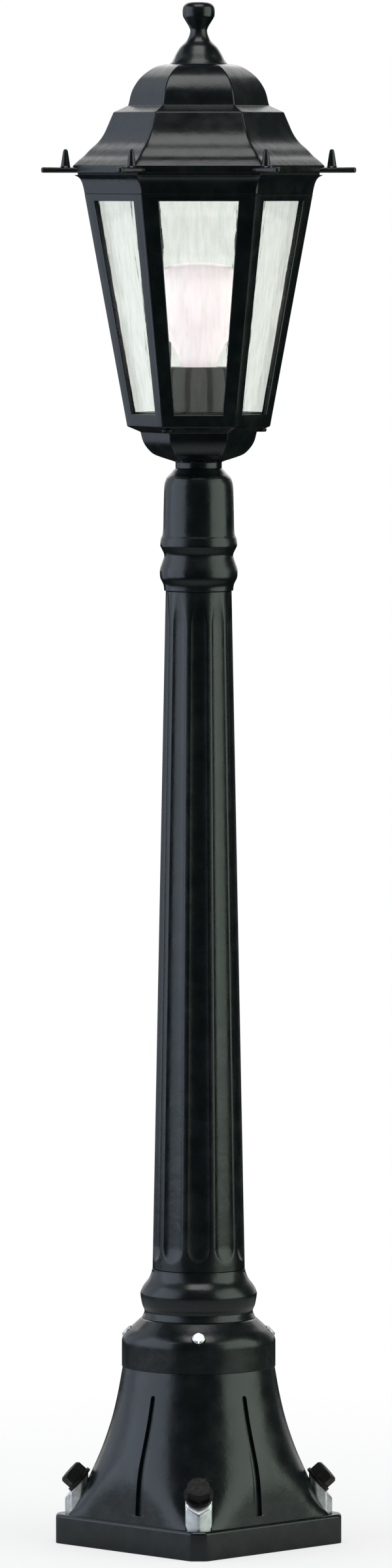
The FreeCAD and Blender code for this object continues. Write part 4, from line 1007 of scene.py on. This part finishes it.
def make_panel(name, place, aim, size, power, code):
    """Soft rectangular lamp that faces a height on the post's axis."""
    light = bpy.data.lights.new(name, "AREA")
    light.shape = "RECTANGLE"
    light.size, light.size_y = size
    light.energy = power
    light.color = linear(code)[:3]
    made = bpy.data.objects.new(name, light)
    bpy.context.scene.collection.objects.link(made)
    made.location = place
    away = made.location - type(made.location)((0, 0, aim))
    made.rotation_euler = away.to_track_quat("Z", "Y").to_euler()
    made.visible_camera = False
    made.visible_transmission = False


def eye_share(tree):
    """Light path of a ray, and 1 where the ray is the camera's or has come through glass."""
    path = add(tree, "ShaderNodeLightPath")
    seen = add(tree, "ShaderNodeMath", links={0: path.outputs["Is Camera Ray"],
                                              1: path.outputs["Is Transmission Ray"]},
               operation="MAXIMUM")
    return path, seen.outputs[0]


def make_world():
    """White to the eye and through glass. Reflections see a white backdrop behind the object
    and a dark room elsewhere. Matt surfaces get a soft even light."""
    world = bpy.data.worlds.new("studio")
    bpy.context.scene.world = world
    world.use_nodes = True
    tree = world.node_tree
    tree.nodes.clear()
    path, seen = eye_share(tree)
    way = add(tree, "ShaderNodeTexCoord").outputs["Generated"]
    behind = add(tree, "ShaderNodeSeparateXYZ", links={0: way}).outputs["Y"]
    backdrop = ramp(tree, behind, 0.75, 0.95, 0.05, 1.0)
    level = add(tree, "ShaderNodeMapRange", {"To Min": 0.4},
                {"Value": path.outputs["Is Glossy Ray"], "To Max": backdrop})
    room = add(tree, "ShaderNodeBackground", {"Color": (1, 1, 1, 1)},
               {"Strength": level.outputs["Result"]})
    white = add(tree, "ShaderNodeBackground", {"Color": (1, 1, 1, 1), "Strength": 1.0})
    mixed = add(tree, "ShaderNodeMixShader", links={"Fac": seen, 1: room.outputs[0],
                                                    2: white.outputs[0]})
    add(tree, "ShaderNodeOutputWorld", links={"Surface": mixed.outputs[0]})


def make_floor():
    """Wide pale floor. To the eye it is white but for the object's shadow: the matt share
    falls from a third at the object to nothing 0.9 m from it. Reflections see a grey sheet
    under the object, which ends in a dark room between 0.3 and 1.1 m from it."""
    reach = 60.0
    mesh = bpy.data.meshes.new("floor")
    corners = [(-reach, -reach, 0), (reach, -reach, 0), (reach, reach, 0), (-reach, reach, 0)]
    mesh.from_pydata(corners, [], [(0, 1, 2, 3)])
    made = bpy.data.objects.new("floor", mesh)
    bpy.context.scene.collection.objects.link(made)
    material, tree = new_material("pale_floor")
    path, seen = eye_share(tree)
    place = add(tree, "ShaderNodeTexCoord").outputs["Object"]
    away = add(tree, "ShaderNodeVectorMath", links={0: place}, operation="LENGTH")
    fade = ramp(tree, away.outputs["Value"], 0.1, 0.9, 0.65, 1.0)
    share = add(tree, "ShaderNodeMath", links={0: seen, 1: fade}, operation="MULTIPLY")
    matt = add(tree, "ShaderNodeBsdfDiffuse", {"Color": linear("e4e4e2")})
    dark = add(tree, "ShaderNodeBsdfDiffuse", {"Color": linear("262626")})
    edge = ramp(tree, away.outputs["Value"], 0.3, 1.1, 0.35, 1.0)
    past = add(tree, "ShaderNodeMath", links={0: path.outputs["Is Glossy Ray"], 1: edge},
               operation="MULTIPLY")
    sheet = add(tree, "ShaderNodeMixShader", links={"Fac": past.outputs[0], 1: matt.outputs[0],
                                                    2: dark.outputs[0]})
    glow = add(tree, "ShaderNodeEmission", {"Color": (1, 1, 1, 1), "Strength": 1.0})
    mixed = add(tree, "ShaderNodeMixShader", links={"Fac": share.outputs[0],
                                                    1: sheet.outputs[0], 2: glow.outputs[0]})
    add(tree, "ShaderNodeOutputMaterial", links={"Surface": mixed.outputs[0]})
    mesh.materials.append(material)


def dress_packed_nodes():
    """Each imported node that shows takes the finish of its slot."""
    for entry in frame["record"]["subparts"]:
        node = frame["nodes"][entry["node"]]
        finish = MATERIALS[entry["material_slot"]]
        if node.material_slots:
            for held in node.material_slots:
                held.material = finish
        else:
            node.data.materials.append(finish)


# Lamps: place, height they face and size in metres, power in watts and colour
PANELS = (
    ("left_panel", (-1.93, -0.52, 1.3), 1.3, (2.3, 2.5), 33.0, "dfedff"),
    ("left_rear_panel", (-1.7, 1.06, 1.3), 1.3, (1.3, 2.5), 8.0, "dfedff"),
    ("right_panel", (1.9, -0.7, 1.3), 1.3, (2.2, 2.5), 34.0, "eefff0"),
    ("top_panel", (0.0, -0.68, 2.8), 1.0, (1.5, 1.2), 18.0, "ffffff"),
    ("back_panel", (0.0, 2.4, 2.0), 1.0, (3.1, 1.6), 20.0, "ffffff"),
)

dress_packed_nodes()
make_camera()
make_world()
make_floor()
for panel in PANELS:
    make_panel(*panel)
bpy.context.scene.view_settings.view_transform = "Standard"
